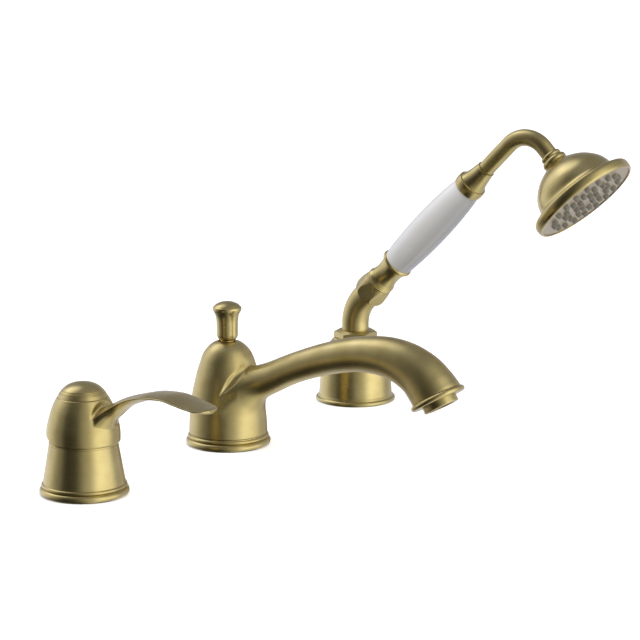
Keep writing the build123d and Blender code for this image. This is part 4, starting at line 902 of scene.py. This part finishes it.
@dataclass
class SpoutUnit(SubAssembly):
    """Spout unit: bell-shaped casting with its curved spout, diverter and aerator.

    The outline gives the bell's side as shares of its radius and height. Each spout station gives
    shares of the reach, of the crest's height and of the tip's radius. Each point of the groove gives
    its place and its radius.
    """

    body_r: float = 26.8
    body_h: float = 63.8
    foot_z: float = 8.1
    foot_trim: float = 0.1
    top_z: float = 71.9
    outline: tuple[Row, ...] = (
        (1.0, 0.0), (0.998, 0.06), (0.985, 0.16), (0.952, 0.30), (0.903, 0.45), (0.851, 0.55),
        (0.795, 0.647), (0.722, 0.746), (0.642, 0.845), (0.545, 0.911), (0.442, 0.955), (0.34, 0.985))
    hole_r: float = 6.3
    wall: float = 2.3
    past: float = 3.0
    socket_r: float = 18.05
    spigot_z: float = 16.1
    chamber_r: float = 17.0
    cone_z: float = 44.0
    chamber_top_r: float = 10.0
    chamber_top_z: float = 59.0
    bush_r: float = 8.25
    bush_z: float = 69.9
    seat_z: float = 38.73
    cut_round: float = 0.6
    reach: float = 168.6
    crest_z: float = 76.6
    tip_r: float = 17.1
    mouth_slope: float = -60.0
    mouth_share: float = 0.8
    stations: tuple[Row, ...] = (
        (0.035, 0.477, 0.82), (0.12, 0.567, 0.735), (0.178, 0.623, 0.66), (0.228, 0.672, 0.622),
        (0.297, 0.746, 0.60), (0.364, 0.809, 0.602), (0.493, 0.909, 0.634), (0.630, 0.983, 0.686),
        (0.703, 1.0, 0.727), (0.778, 0.998, 0.785), (0.854, 0.963, 0.849), (0.927, 0.885, 0.913),
        (0.975, 0.788, 0.972), (1.0, 0.722, 1.0))
    table_low: Row = (-196.0, 0.0)
    table_high: Row = (34.0, 100.0)
    table_step: float = 0.5
    fillet: float = 1.5
    flank: float = 13.0
    flank_depths: Row = (-11.0, 2.0)
    flank_span: Row = (9.0, 21.0)
    belly: float = 9.0
    belly_depths: Row = (3.0, 11.0)
    flare: float = 0.4
    flare_span: Row = (-22.0, -9.7)
    groove: tuple[Row, ...] = (
        (22.0, -9.9, 39.0, 0.6), (19.8, -12.6, 43.4, 1.8), (16.6, -15.8, 49.0, 2.9),
        (12.6, -18.9, 54.0, 3.2), (7.0, -20.9, 58.6, 3.0), (0.0, -21.8, 60.6, 3.0))
    groove_round: float = 0.8
    groove_span: Row = (-32.0, -2.0)
    groove_low: float = 32.0
    groove_far: float = 40.0
    step: float = 0.75
    margin: float = 1.5
    # Puts the foot's plane in the middle of a cell, so that its edge comes out clean
    foot_margin: float = 1.975

    def __post_init__(self) -> None:
        """Lists the CAD nodes' finishes and works out the casting's tables."""
        self.give(TURNED_BRASS, SPOUT_AXLE, "spout_foot_ring", "diverter_knob")
        self.give(RAW_BRASS, SPOUT_AXLE, "spout_shank", "spout_manifold", "diverter_cage",
                  "diverter_outlet_tube", "diverter_bush", "diverter_stem", "diverter_disc")
        self.give(RUBBER, SPOUT_AXLE, "spout_gasket", "diverter_washers")
        self.give(TURNED_BRASS, MOUTH_AXLE, "spout_tip_ring", "aerator_housing")
        self.give(CARTRIDGE, MOUTH_AXLE, "aerator_insert")
        self.give(RUBBER, MOUTH_AXLE, "aerator_washer")
        side = [(share * self.body_r, self.foot_z + up * self.body_h) for share, up in self.outline]
        bell = [tuple(row) for row in smooth_curve(side + [(self.hole_r, self.top_z)])]
        self.bell = Outline([(0, self.foot_z)] + bell + [(0, self.top_z)])
        open_low, open_top = self.foot_z - self.past, self.top_z + self.past
        self.chamber = Outline([
            (0, open_low), (self.socket_r, open_low), (self.socket_r, self.spigot_z),
            (self.chamber_r, self.spigot_z), (self.chamber_r, self.cone_z),
            (self.chamber_top_r, self.chamber_top_z), (self.bush_r, self.chamber_top_z),
            (self.bush_r, self.bush_z), (self.hole_r, self.bush_z), (self.hole_r, open_top), (0, open_top)])
        rows = smooth_curve(self.stations, 14)
        self.line = np.stack([-rows[:, 0] * self.reach, rows[:, 1] * self.crest_z], 1)
        self.tables = self.sweep(rows[:, 2] * self.tip_r)
        self.groove_path = smooth_curve(self.groove, 5)

    def sweep(self, radii: np.ndarray) -> list[np.ndarray]:
        """Tables over the spout's middle plane, for the nearest point on its centre line.

        Args:
            radii: Radius of the spout at each point of the line.

        Returns:
            Distance from the line, distance above it, and radius there.
        """
        ys, zs = (np.arange(low, high, self.table_step) for low, high in zip(self.table_low, self.table_high))
        spot = grid(ys, zs)
        best = np.full(len(spot), FAR)
        above = np.zeros(len(spot))
        radius = np.zeros(len(spot))
        for start, end, r0, r1 in zip(self.line[:-1], self.line[1:], radii[:-1], radii[1:]):
            run = end - start
            share, away = from_run(spot, start, end)
            reach = np.linalg.norm(away, axis=1)
            nearer = reach < best
            best = np.where(nearer, reach, best)
            above = np.where(nearer, np.sign(run[1] * away[:, 0] - run[0] * away[:, 1]) * reach, above)
            radius = np.where(nearer, r0 + (r1 - r0) * share, radius)
        return [table.reshape(len(ys), len(zs)) for table in (best, above, radius)]

    def tube(self, points: np.ndarray) -> tuple[np.ndarray, np.ndarray]:
        """Distance from the spout's round tube, which flares sideways at its root.

        Args:
            points: Where it is wanted.

        Returns:
            Distance from the tube, and how far each point is above its centre line.
        """
        place = (points[:, 1:] - np.array(self.table_low)) / self.table_step
        (reach, above, radius), _ = read_tables(self.tables, place)
        start, end = self.flare_span
        share = np.clip((points[:, 1] - start) / (end - start), 0, 1)
        return np.hypot(points[:, 0] / (1 + self.flare * share**2), reach) - radius, above

    def ear(self, points: np.ndarray) -> np.ndarray:
        """Distance from the ear-shaped groove between the dome and the spout's root.

        Args:
            points: Where it is wanted.

        Returns:
            One distance for each point, negative inside the groove, and large away from it.
        """
        best = np.full(len(points), self.groove_far)
        start, end = self.groove_span
        near = (points[:, 1] > start) & (points[:, 1] < end) & (points[:, 2] > self.groove_low)
        spot = points[near]
        spot[:, 0] = np.abs(spot[:, 0])
        least = best[near]
        for first, last in zip(self.groove_path[:-1], self.groove_path[1:]):
            share, away = from_run(spot, first[:3], last[:3])
            reach = np.linalg.norm(away, axis=1)
            least = np.minimum(least, reach - first[3] - share * (last[3] - first[3]))
        best[near] = least
        return best

    def distance(self, points: np.ndarray) -> np.ndarray:
        """Distance from the casting, in the spout's own frame.

        The fillet between bell and spout is wide on the spout's flanks and under it, and thin on top.

        Args:
            points: Where it is wanted.

        Returns:
            One distance for each point, negative inside the metal.
        """
        tube, above = self.tube(points)
        flank = smooth_step(-above, *self.flank_depths) * smooth_step(-points[:, 1], *self.flank_span)
        belly = smooth_step(-above, *self.belly_depths)
        width = self.fillet + self.flank * flank * (1 - belly) + self.belly * belly
        solid = blend_min(self.bell.distance(points), tube, width)
        solid = blend_max(solid, -self.ear(points), self.groove_round)
        way = np.maximum(tube + self.wall, self.seat_z - points[:, 2])
        solid = blend_max(solid, -np.minimum(self.chamber.distance(points), way), self.cut_round)
        slope = math.radians(self.mouth_slope)
        mouth = (points[:, 1:] - self.line[-1]) @ np.array([-math.cos(slope), math.sin(slope)])
        near = points[:, 1] < -self.mouth_share * self.reach
        solid = np.where(near, np.maximum(solid, mouth), solid)
        return blend_max(solid, self.foot_z - self.foot_trim - points[:, 2], self.cut_round)

    def build(self) -> None:
        """Models the casting."""
        side = self.body_r + self.margin
        low = (-self.body_r - self.margin, -self.reach - self.tip_r - self.margin,
               self.foot_z - self.foot_margin)
        points, faces, normals = net(self.distance, low, (side, side, self.crest_z + self.tip_r), self.step)
        piece = write_mesh("spout_casting", points, faces, normals)
        self.place(piece, "base", "antique_brass", LINISHED_BRASS, SPOUT_AXLE, "spout_body")


@dataclass
class HandShower(SubAssembly):
    """Holder and pull-out hand shower with its porcelain grip and spray head.

    The sides of the nut and the flare give radius and height along the handle's axis.
    """

    nozzle_r: float = 2.1
    nozzle_tip_r: float = 1.85
    nozzle_bore_r: float = 0.6
    nozzle_lip: float = 0.2
    nozzle_dome: float = 1.0
    nozzle_steps: int = 24
    face_inset: float = 0.6
    proud: float = 2.8
    ledge: float = 4.4
    sheet_low: float = 3.0
    sheet_r: float = 36.1
    sheet_bore: float = 0.4
    sheet_steps: int = 96
    first_ring: float = 8.4
    ring_step: float = 9.4
    counts: tuple[int, ...] = (6, 12, 18)
    nut_side: tuple[Row, ...] = (
        (9.76, 15.0), (11.35, 16.0), (12.08, 18.6), (12.14, 21.48), (11.59, 25.37), (10.67, 29.4))
    nut_flats: float = 21.6
    nut_turn: float = 6.0
    nut_bore: float = 8.45
    nut_steps: int = 240
    tube_bore: float = 5.25
    washer_top: float = 22.6
    flare_side: tuple[Row, ...] = (
        (10.65, 32.95), (9.7, 35.0), (8.95, 39.0), (9.0, 42.6), (9.4, 45.6), (10.1, 48.6), (10.4, 49.7))
    flare_edge: float = 0.2
    flare_steps: int = 128
    groove_heights: Row = (30.9, 32.3)
    groove_half: float = 0.4
    grip_socket: float = 10.9
    grip_z: float = 51.8
    lip_r: float = 11.9
    lip_z: float = 51.4
    bead_r: float = 1.3
    bead_half: float = 1.6
    crease_angle: float = 24.0

    def __post_init__(self) -> None:
        """Lists the CAD nodes' finishes."""
        self.give(TURNED_BRASS, HOLDER_AXLE, "holder_body")
        self.give(RUBBER, HOLDER_AXLE, "holder_gasket", "elbow_washer")
        self.give(RAW_BRASS, HOLDER_AXLE, "holder_shank", "hose_tail")
        self.give(CARTRIDGE, HOLDER_AXLE, "holder_guide")
        self.give(LINISHED_BRASS, HOLDER_AXLE, "elbow")
        self.give(RUBBER, HANDLE_AXLE, "union_washer")
        self.give(RAW_BRASS, HANDLE_AXLE, "inner_tube")
        self.give(PORCELAIN, HANDLE_AXLE, "porcelain_grip")
        self.give(TURNED_BRASS, HANDLE_AXLE, "upper_ferrule")
        self.give(LINISHED_BRASS, HANDLE_AXLE, "gooseneck")
        self.give(TURNED_BRASS, HEAD_AXLE, "head_collar", "head_shell")
        self.give(SPRAY_PLATE, HEAD_AXLE, "face_plate")

    def nozzle(self) -> bpy.types.Object:
        """One hollow nozzle with a domed tip, standing out of the spray face along -Z.

        Returns:
            The nozzle, on the axis.
        """
        bore, lip, tip = self.nozzle_bore_r, self.nozzle_lip, self.face_inset - self.proud
        dome = [(bore + lip + (self.nozzle_tip_r - bore - lip) * math.sin(turn),
                 tip + self.nozzle_dome - self.nozzle_dome * math.cos(turn)) for turn in quarter(0.15, 6)]
        outline = [(bore, self.ledge), (bore, tip + lip), (bore + lip, tip), *dome,
                   (self.nozzle_r, self.face_inset), (self.nozzle_r, self.ledge)]
        return lathe("nozzle_pattern", outline, self.nozzle_steps)

    def ring_names(self) -> list[str]:
        """Names of the inputs that count the nozzles on each ring."""
        return [f"Nozzles on ring {place + 1}" for place in range(len(self.counts))]

    def tree(self, nozzle: bpy.types.Object) -> bpy.types.GeometryNodeTree:
        """Nodes that stand a nozzle on every place of the rings.

        Args:
            nozzle: The nozzle that is repeated.

        Returns:
            The tree, with the sizes as named inputs.
        """
        tree = bpy.data.node_groups.new("nozzle_rings", "GeometryNodeTree")
        kinds = {"Geometry": "Geometry", "First ring radius": "Float", "Ring step": "Float"}
        kinds |= {name: "Int" for name in self.ring_names()} | {"Finish": "Material"}
        for name, kind in kinds.items():
            tree.interface.new_socket(name, in_out="INPUT", socket_type=f"NodeSocket{kind}")
        tree.interface.new_socket("Geometry", in_out="OUTPUT", socket_type="NodeSocketGeometry")
        given = add(tree, "NodeGroupInput").outputs
        join = add(tree, "GeometryNodeJoinGeometry")
        for place, name in enumerate(self.ring_names()):
            inputs = {0: given["Ring step"], 1: float(place), 2: given["First ring radius"]}
            radius = add(tree, "ShaderNodeMath", inputs, operation="MULTIPLY_ADD").outputs[0]
            circle = add(tree, "GeometryNodeMeshCircle", {"Vertices": given[name], "Radius": radius})
            tree.links.new(circle.outputs[0], join.inputs[0])
        pattern = add(tree, "GeometryNodeObjectInfo", {"Object": nozzle}).outputs["Geometry"]
        stood = add(tree, "GeometryNodeInstanceOnPoints", {"Points": join.outputs[0], "Instance": pattern})
        both = add(tree, "GeometryNodeJoinGeometry")
        for part in (stood.outputs[0], given["Geometry"]):
            tree.links.new(part, both.inputs[0])
        real = add(tree, "GeometryNodeRealizeInstances", {0: both.outputs[0]}).outputs[0]
        dressed = add(tree, "GeometryNodeSetMaterial", {"Geometry": real, "Material": given["Finish"]})
        out = add(tree, "NodeGroupOutput")
        tree.links.new(dressed.outputs[0], out.inputs[0])
        return tree

    def union(self) -> None:
        """Models the union nut with its flats, and the flared ferrule with its grooves and beaded lip."""
        side = [tuple(row) for row in smooth_curve(self.nut_side, 7)]
        low, top = self.nut_side[0][1], self.nut_side[-1][1]
        outline = [(self.tube_bore, top), (self.tube_bore, self.washer_top), (self.nut_bore, self.washer_top),
                   (self.nut_bore, low), *side]
        nut = lathe("union_nut", outline, self.nut_steps, self.nut_flats, self.nut_turn)
        cone = [tuple(row) for row in smooth_curve(self.flare_side, 7)]
        flare_r, half, edge = cone[0][0], self.groove_half, self.flare_edge
        grooves = []
        for height in self.groove_heights:
            grooves += [(flare_r, height - half), (flare_r - half, height), (flare_r, height + half)]
        bead = [(self.lip_r - self.bead_r * (1 - math.cos(turn)),
                 self.lip_z + self.bead_half * math.sin(turn)) for turn in quarter(-math.pi / 2, 13)]
        outline = [(self.grip_socket, self.lip_z + self.bead_half), (self.grip_socket, self.grip_z),
                   (self.tube_bore, self.grip_z), (self.tube_bore, top), (flare_r - edge, top),
                   (flare_r, top + edge), *grooves, *cone, *bead[:-1]]
        flare = lathe("flared_ferrule", outline, self.flare_steps)
        for piece, node in ((nut, "handset_nut"), (flare, "handset_flare")):
            crease(piece, self.crease_angle)
            piece.data.transform(HANDLE_AXLE.matrix())
            self.place(piece, "hand_shower", "antique_brass", TURNED_BRASS, HANDLE_AXLE, node)

    def build(self) -> None:
        """Models the union nut, the flared ferrule, and the nozzles with the sheet that carries them."""
        self.union()
        outline = [(self.sheet_bore, self.ledge), (self.sheet_bore, self.sheet_low),
                   (self.sheet_r, self.sheet_low), (self.sheet_r, self.ledge)]
        sheet = lathe("nozzle_sheet", outline, self.sheet_steps)
        pattern = self.nozzle()
        modifier = sheet.modifiers.new("nozzle_rings", "NODES")
        modifier.node_group = self.tree(pattern)
        values = {"First ring radius": self.first_ring * MM, "Ring step": self.ring_step * MM,
                  "Finish": NOZZLE_RUBBER.material(HEAD_AXLE)}
        set_inputs(modifier, values | dict(zip(self.ring_names(), self.counts)))
        piece = applied(sheet, "spray_nozzle_sheet")
        piece.data.transform(HEAD_AXLE.matrix())
        bpy.data.objects.remove(pattern)
        self.place(piece, "hand_shower", "nozzle_silicone", NOZZLE_RUBBER, HEAD_AXLE, "spray_nozzles")


def set_inputs(modifier: bpy.types.Modifier, values: dict) -> None:
    """Sets a Geometry Nodes modifier's inputs by their sockets' identifiers.

    Args:
        modifier: The modifier, with its tree.
        values: Value for each input's name.
    """
    for item in modifier.node_group.interface.items_tree:
        if item.item_type == "SOCKET" and item.in_out == "INPUT" and item.name in values:
            modifier[item.identifier] = values[item.name]


def applied(source: bpy.types.Object, name: str) -> bpy.types.Object:
    """Turns an object with its modifiers into a plain mesh, and removes the first.

    Args:
        source: Object with live modifiers.
        name: Name of the new piece.

    Returns:
        The new object, at the origin.
    """
    bpy.context.view_layer.update()
    graph = bpy.context.evaluated_depsgraph_get()
    mesh = bpy.data.meshes.new_from_object(source.evaluated_get(graph))
    mesh.name = name
    piece = bpy.data.objects.new(name, mesh)
    bpy.context.scene.collection.objects.link(piece)
    bpy.data.objects.remove(source)
    return piece


# Studio


@dataclass
class Studio:
    """Pale floor, soft light from above and at the sides, and the camera at the photograph's place.

    The room is a set of soft panels, given by their angle from the camera and their brightness, at
    eye level, above it and below it. A span of heights says where one row of panels gives way to the
    next, as the upright part of a direction, from -1 straight down to 1 straight up.
    """

    azimuth: float = -55.48
    elevation: float = 11.93
    roll: float = -0.22
    focal_px: float = 2969.67
    frame_px: float = 640.0
    sensor: float = 36.0
    aside: float = 63.158
    above: float = 84.038
    away: float = 2038.131
    clip_m: float = 100.0
    floor_half_m: float = 6.0
    floor_colour: str = "#F6F6F5"
    floor_roughness: float = 0.9
    floor_lift: float = 0.28
    sky_spread: float = 70.0
    sky_power: float = 2.1
    sky_tilt: Row = (12, -10)
    level: tuple[Row, ...] = (
        (-180, 0.75), (-145, 1.0), (-115, 0.85), (-78, 0.27), (-52, 0.03), (-22, 0.05), (18, 0.5), (52, 1.5),
        (80, 1.3), (112, 0.45), (150, 0.55), (180, 0.75))
    upper: tuple[Row, ...] = (
        (-180, 0.22), (-152, 0.28), (-130, 1.1), (-114, 1.0), (-98, 0.7), (-75, 0.3), (-52, 0.08),
        (-22, 0.1), (18, 0.4), (52, 1.2), (80, 0.8), (110, 0.35), (150, 0.25), (180, 0.25))
    lower: tuple[Row, ...] = (
        (-180, 0.7), (-150, 0.45), (-130, 0.25), (-100, 0.05), (-75, 0.03), (-38, 0.03), (-5, 0.1),
        (25, 0.5), (52, 1.0), (80, 0.8), (120, 0.6), (180, 0.8))
    behind: tuple[Row, ...] = ((-180, 1.0), (-158, 1.0), (-130, 0.0), (130, 0.0), (158, 1.0), (180, 1.0))
    behind_light: float = 0.45
    zenith: float = 0.25
    behind_span: Row = (-0.12, 0.1)
    upper_span: Row = (0.2, 0.4)
    lower_span: Row = (-0.28, -0.55)
    zenith_span: Row = (0.7, 0.95)
    softbox: Row = (0.058, 0.5545, 0.829)
    softbox_power: Row = (0.8, 0.82, 0.95)
    softbox_span: Row = (0.91, 0.975)
    fill: Row = (0.4, 0.68)
    fill_span: Row = (-0.3, 1.0)
    cool: Row = (1.0, 1.02, 1.22)
    cool_span: Row = (60.0, 130.0)

    def axes(self) -> tuple[np.ndarray, np.ndarray, np.ndarray]:
        """Camera's directions before its roll.

        Returns:
            Right, up and backward.
        """
        a, e = math.radians(self.azimuth), math.radians(self.elevation)
        back = np.array([math.sin(a) * math.cos(e), -math.cos(a) * math.cos(e), math.sin(e)])
        right = np.array([math.cos(a), math.sin(a), 0.0])
        return right, np.cross(back, right), back

    def camera(self) -> None:
        """Sets the camera."""
        right, up, back = self.axes()
        place = (back * self.away + right * self.aside + up * self.above) * MM
        turn = math.radians(self.roll)
        rolled_right = right * math.cos(turn) + up * math.sin(turn)
        rolled_up = up * math.cos(turn) - right * math.sin(turn)
        data = bpy.data.cameras.new("studio_camera")
        data.sensor_width = self.sensor
        data.lens = self.focal_px * self.sensor / self.frame_px
        data.clip_end = self.clip_m
        eye = bpy.data.objects.new("studio_camera", data)
        rows = [list(row) for row in np.stack([rolled_right, rolled_up, back, place], 1)]
        eye.matrix_world = Matrix(rows + [[0, 0, 0, 1]])
        bpy.context.scene.collection.objects.link(eye)
        bpy.context.scene.camera = eye

    def floor(self) -> None:
        """Lays the pale floor that the three units stand on."""
        half = self.floor_half_m / MM
        points = np.array([(-half, -half, 0), (half, -half, 0), (half, half, 0), (-half, half, 0)])
        piece = write_mesh("studio_floor", points, np.array([[0, 1, 2, 3]]))
        made = bpy.data.materials.new("matt_white_floor")
        made.use_nodes = True
        shader = made.node_tree.nodes["Principled BSDF"]
        for name, value in (("Base Color", linear(self.floor_colour)), ("Roughness", self.floor_roughness),
                            ("Emission Color", WHITE), ("Emission Strength", self.floor_lift)):
            shader.inputs[name].default_value = value
        piece.data.materials.append(made)
        piece.visible_glossy = False
        piece.visible_diffuse = False

    def sky(self) -> None:
        """Adds one very soft lamp from above, which lights the floor and the porcelain evenly."""
        data = bpy.data.lights.new("ceiling_panel", "SUN")
        data.angle = math.radians(self.sky_spread)
        data.energy = self.sky_power
        lamp = bpy.data.objects.new("ceiling_panel", data)
        lamp.rotation_euler = (math.radians(self.sky_tilt[0]), math.radians(self.sky_tilt[1]), 0)
        lamp.visible_glossy = False
        bpy.context.scene.collection.objects.link(lamp)

    def tinted(self, place: float, value: float) -> Colour:
        """Colour of a panel: neutral before the set and cooler at its back.

        Args:
            place: Angle from the camera.
            value: Brightness.

        Returns:
            Linear colour.
        """
        start, end = self.cool_span
        share = min(max((abs(place) - start) / (end - start), 0.0), 1.0)
        return tuple(value * (1 + (tint - 1) * share) for tint in self.cool) + (1.0,)

    def panels(self, tree: bpy.types.NodeTree, share: bpy.types.NodeSocket, row: tuple[Row, ...]
               ) -> bpy.types.NodeSocket:
        """Colours of a row of panels.

        Args:
            tree: World tree.
            share: Way round the room from behind the camera's back, from 0 to 1.
            row: Angle and brightness of each panel.

        Returns:
            Colour output.
        """
        node = add(tree, "ShaderNodeValToRGB", {0: share})
        node.color_ramp.interpolation = "EASE"
        return ramp(node, [((place + 180) / 360, self.tinted(place, value)) for place, value in row])

    def room(self) -> None:
        """Surrounds the set with soft panels of light and shade, and white where the camera looks."""
        world = bpy.data.worlds.new("studio_room")
        bpy.context.scene.world = world
        world.use_nodes = True
        tree = world.node_tree
        tree.nodes.clear()
        way = add(tree, "ShaderNodeTexCoord").outputs["Generated"]
        inputs = {"Vector": way, "Rotation": (0, 0, -math.radians(self.azimuth))}
        turned = add(tree, "ShaderNodeMapping", inputs).outputs[0]
        parts = add(tree, "ShaderNodeSeparateXYZ", {0: turned}).outputs
        height = parts["Z"]
        toward = add(tree, "ShaderNodeMath", {0: parts["Y"], 1: -1.0}, operation="MULTIPLY").outputs[0]
        angle = add(tree, "ShaderNodeMath", {0: parts["X"], 1: toward}, operation="ARCTAN2").outputs[0]
        inputs = {"Value": angle, "From Min": -math.pi, "From Max": math.pi}
        share = add(tree, "ShaderNodeMapRange", inputs).outputs[0]
        mixed, upper, lower = (self.panels(tree, share, row) for row in (self.level, self.upper, self.lower))
        back = ramp(add(tree, "ShaderNodeValToRGB", {0: share}),
                    [((place + 180) / 360, (value,) * 3 + (1.0,)) for place, value in self.behind])
        for colour, span, where in ((self.tinted(180, self.behind_light), self.behind_span, back),
                                    (upper, self.upper_span, None), (lower, self.lower_span, None),
                                    (self.tinted(180, self.zenith), self.zenith_span, None)):
            inputs = {"Value": height, "From Min": span[0], "From Max": span[1]}
            part = add(tree, "ShaderNodeMapRange", inputs).outputs[0]
            if where is not None:
                part = add(tree, "ShaderNodeMath", {0: part, 1: where}, operation="MULTIPLY").outputs[0]
            inputs = {0: part, 6: mixed, 7: colour}
            mixed = add(tree, "ShaderNodeMix", inputs, data_type="RGBA").outputs[2]
        inputs = {0: way, 1: self.softbox}
        toward = add(tree, "ShaderNodeVectorMath", inputs, operation="DOT_PRODUCT").outputs["Value"]
        inputs = {"Value": toward, "From Min": self.softbox_span[0], "From Max": self.softbox_span[1]}
        glow = add(tree, "ShaderNodeMapRange", inputs, interpolation_type="SMOOTHSTEP").outputs[0]
        inputs = {0: glow, 1: self.softbox_power, 2: mixed}
        lamp = add(tree, "ShaderNodeVectorMath", inputs, operation="MULTIPLY_ADD").outputs[0]
        inputs = {"Value": height, "From Min": self.fill_span[0], "From Max": self.fill_span[1],
                  "To Min": self.fill[0], "To Max": self.fill[1]}
        fill = add(tree, "ShaderNodeMapRange", inputs).outputs[0]
        shown, filled, plain = (
            add(tree, "ShaderNodeBackground", {"Color": colour, "Strength": strength}).outputs[0]
            for colour, strength in ((lamp, 1.0), (WHITE, fill), (WHITE, 1.0)))
        rays = add(tree, "ShaderNodeLightPath").outputs
        inputs = {0: rays["Is Diffuse Ray"], 1: shown, 2: filled}
        lit = add(tree, "ShaderNodeMixShader", inputs).outputs[0]
        inputs = {0: rays["Is Camera Ray"], 1: lit, 2: plain}
        both = add(tree, "ShaderNodeMixShader", inputs).outputs[0]
        add(tree, "ShaderNodeOutputWorld", {"Surface": both})

    def build(self) -> None:
        """Sets up the whole studio."""
        bpy.context.scene.view_settings.view_transform = "Standard"
        self.camera()
        self.floor()
        self.room()
        self.sky()


def main() -> None:
    """Builds the studio and the three units in order."""
    logging.basicConfig(level=logging.INFO, format="%(message)s")
    Studio().build()
    for unit in (MixingValve(), SpoutUnit(), HandShower()):
        unit.dress()
        unit.build()
        LOG.info("%s built", type(unit).__name__)


if __name__ == "__main__":
    main()
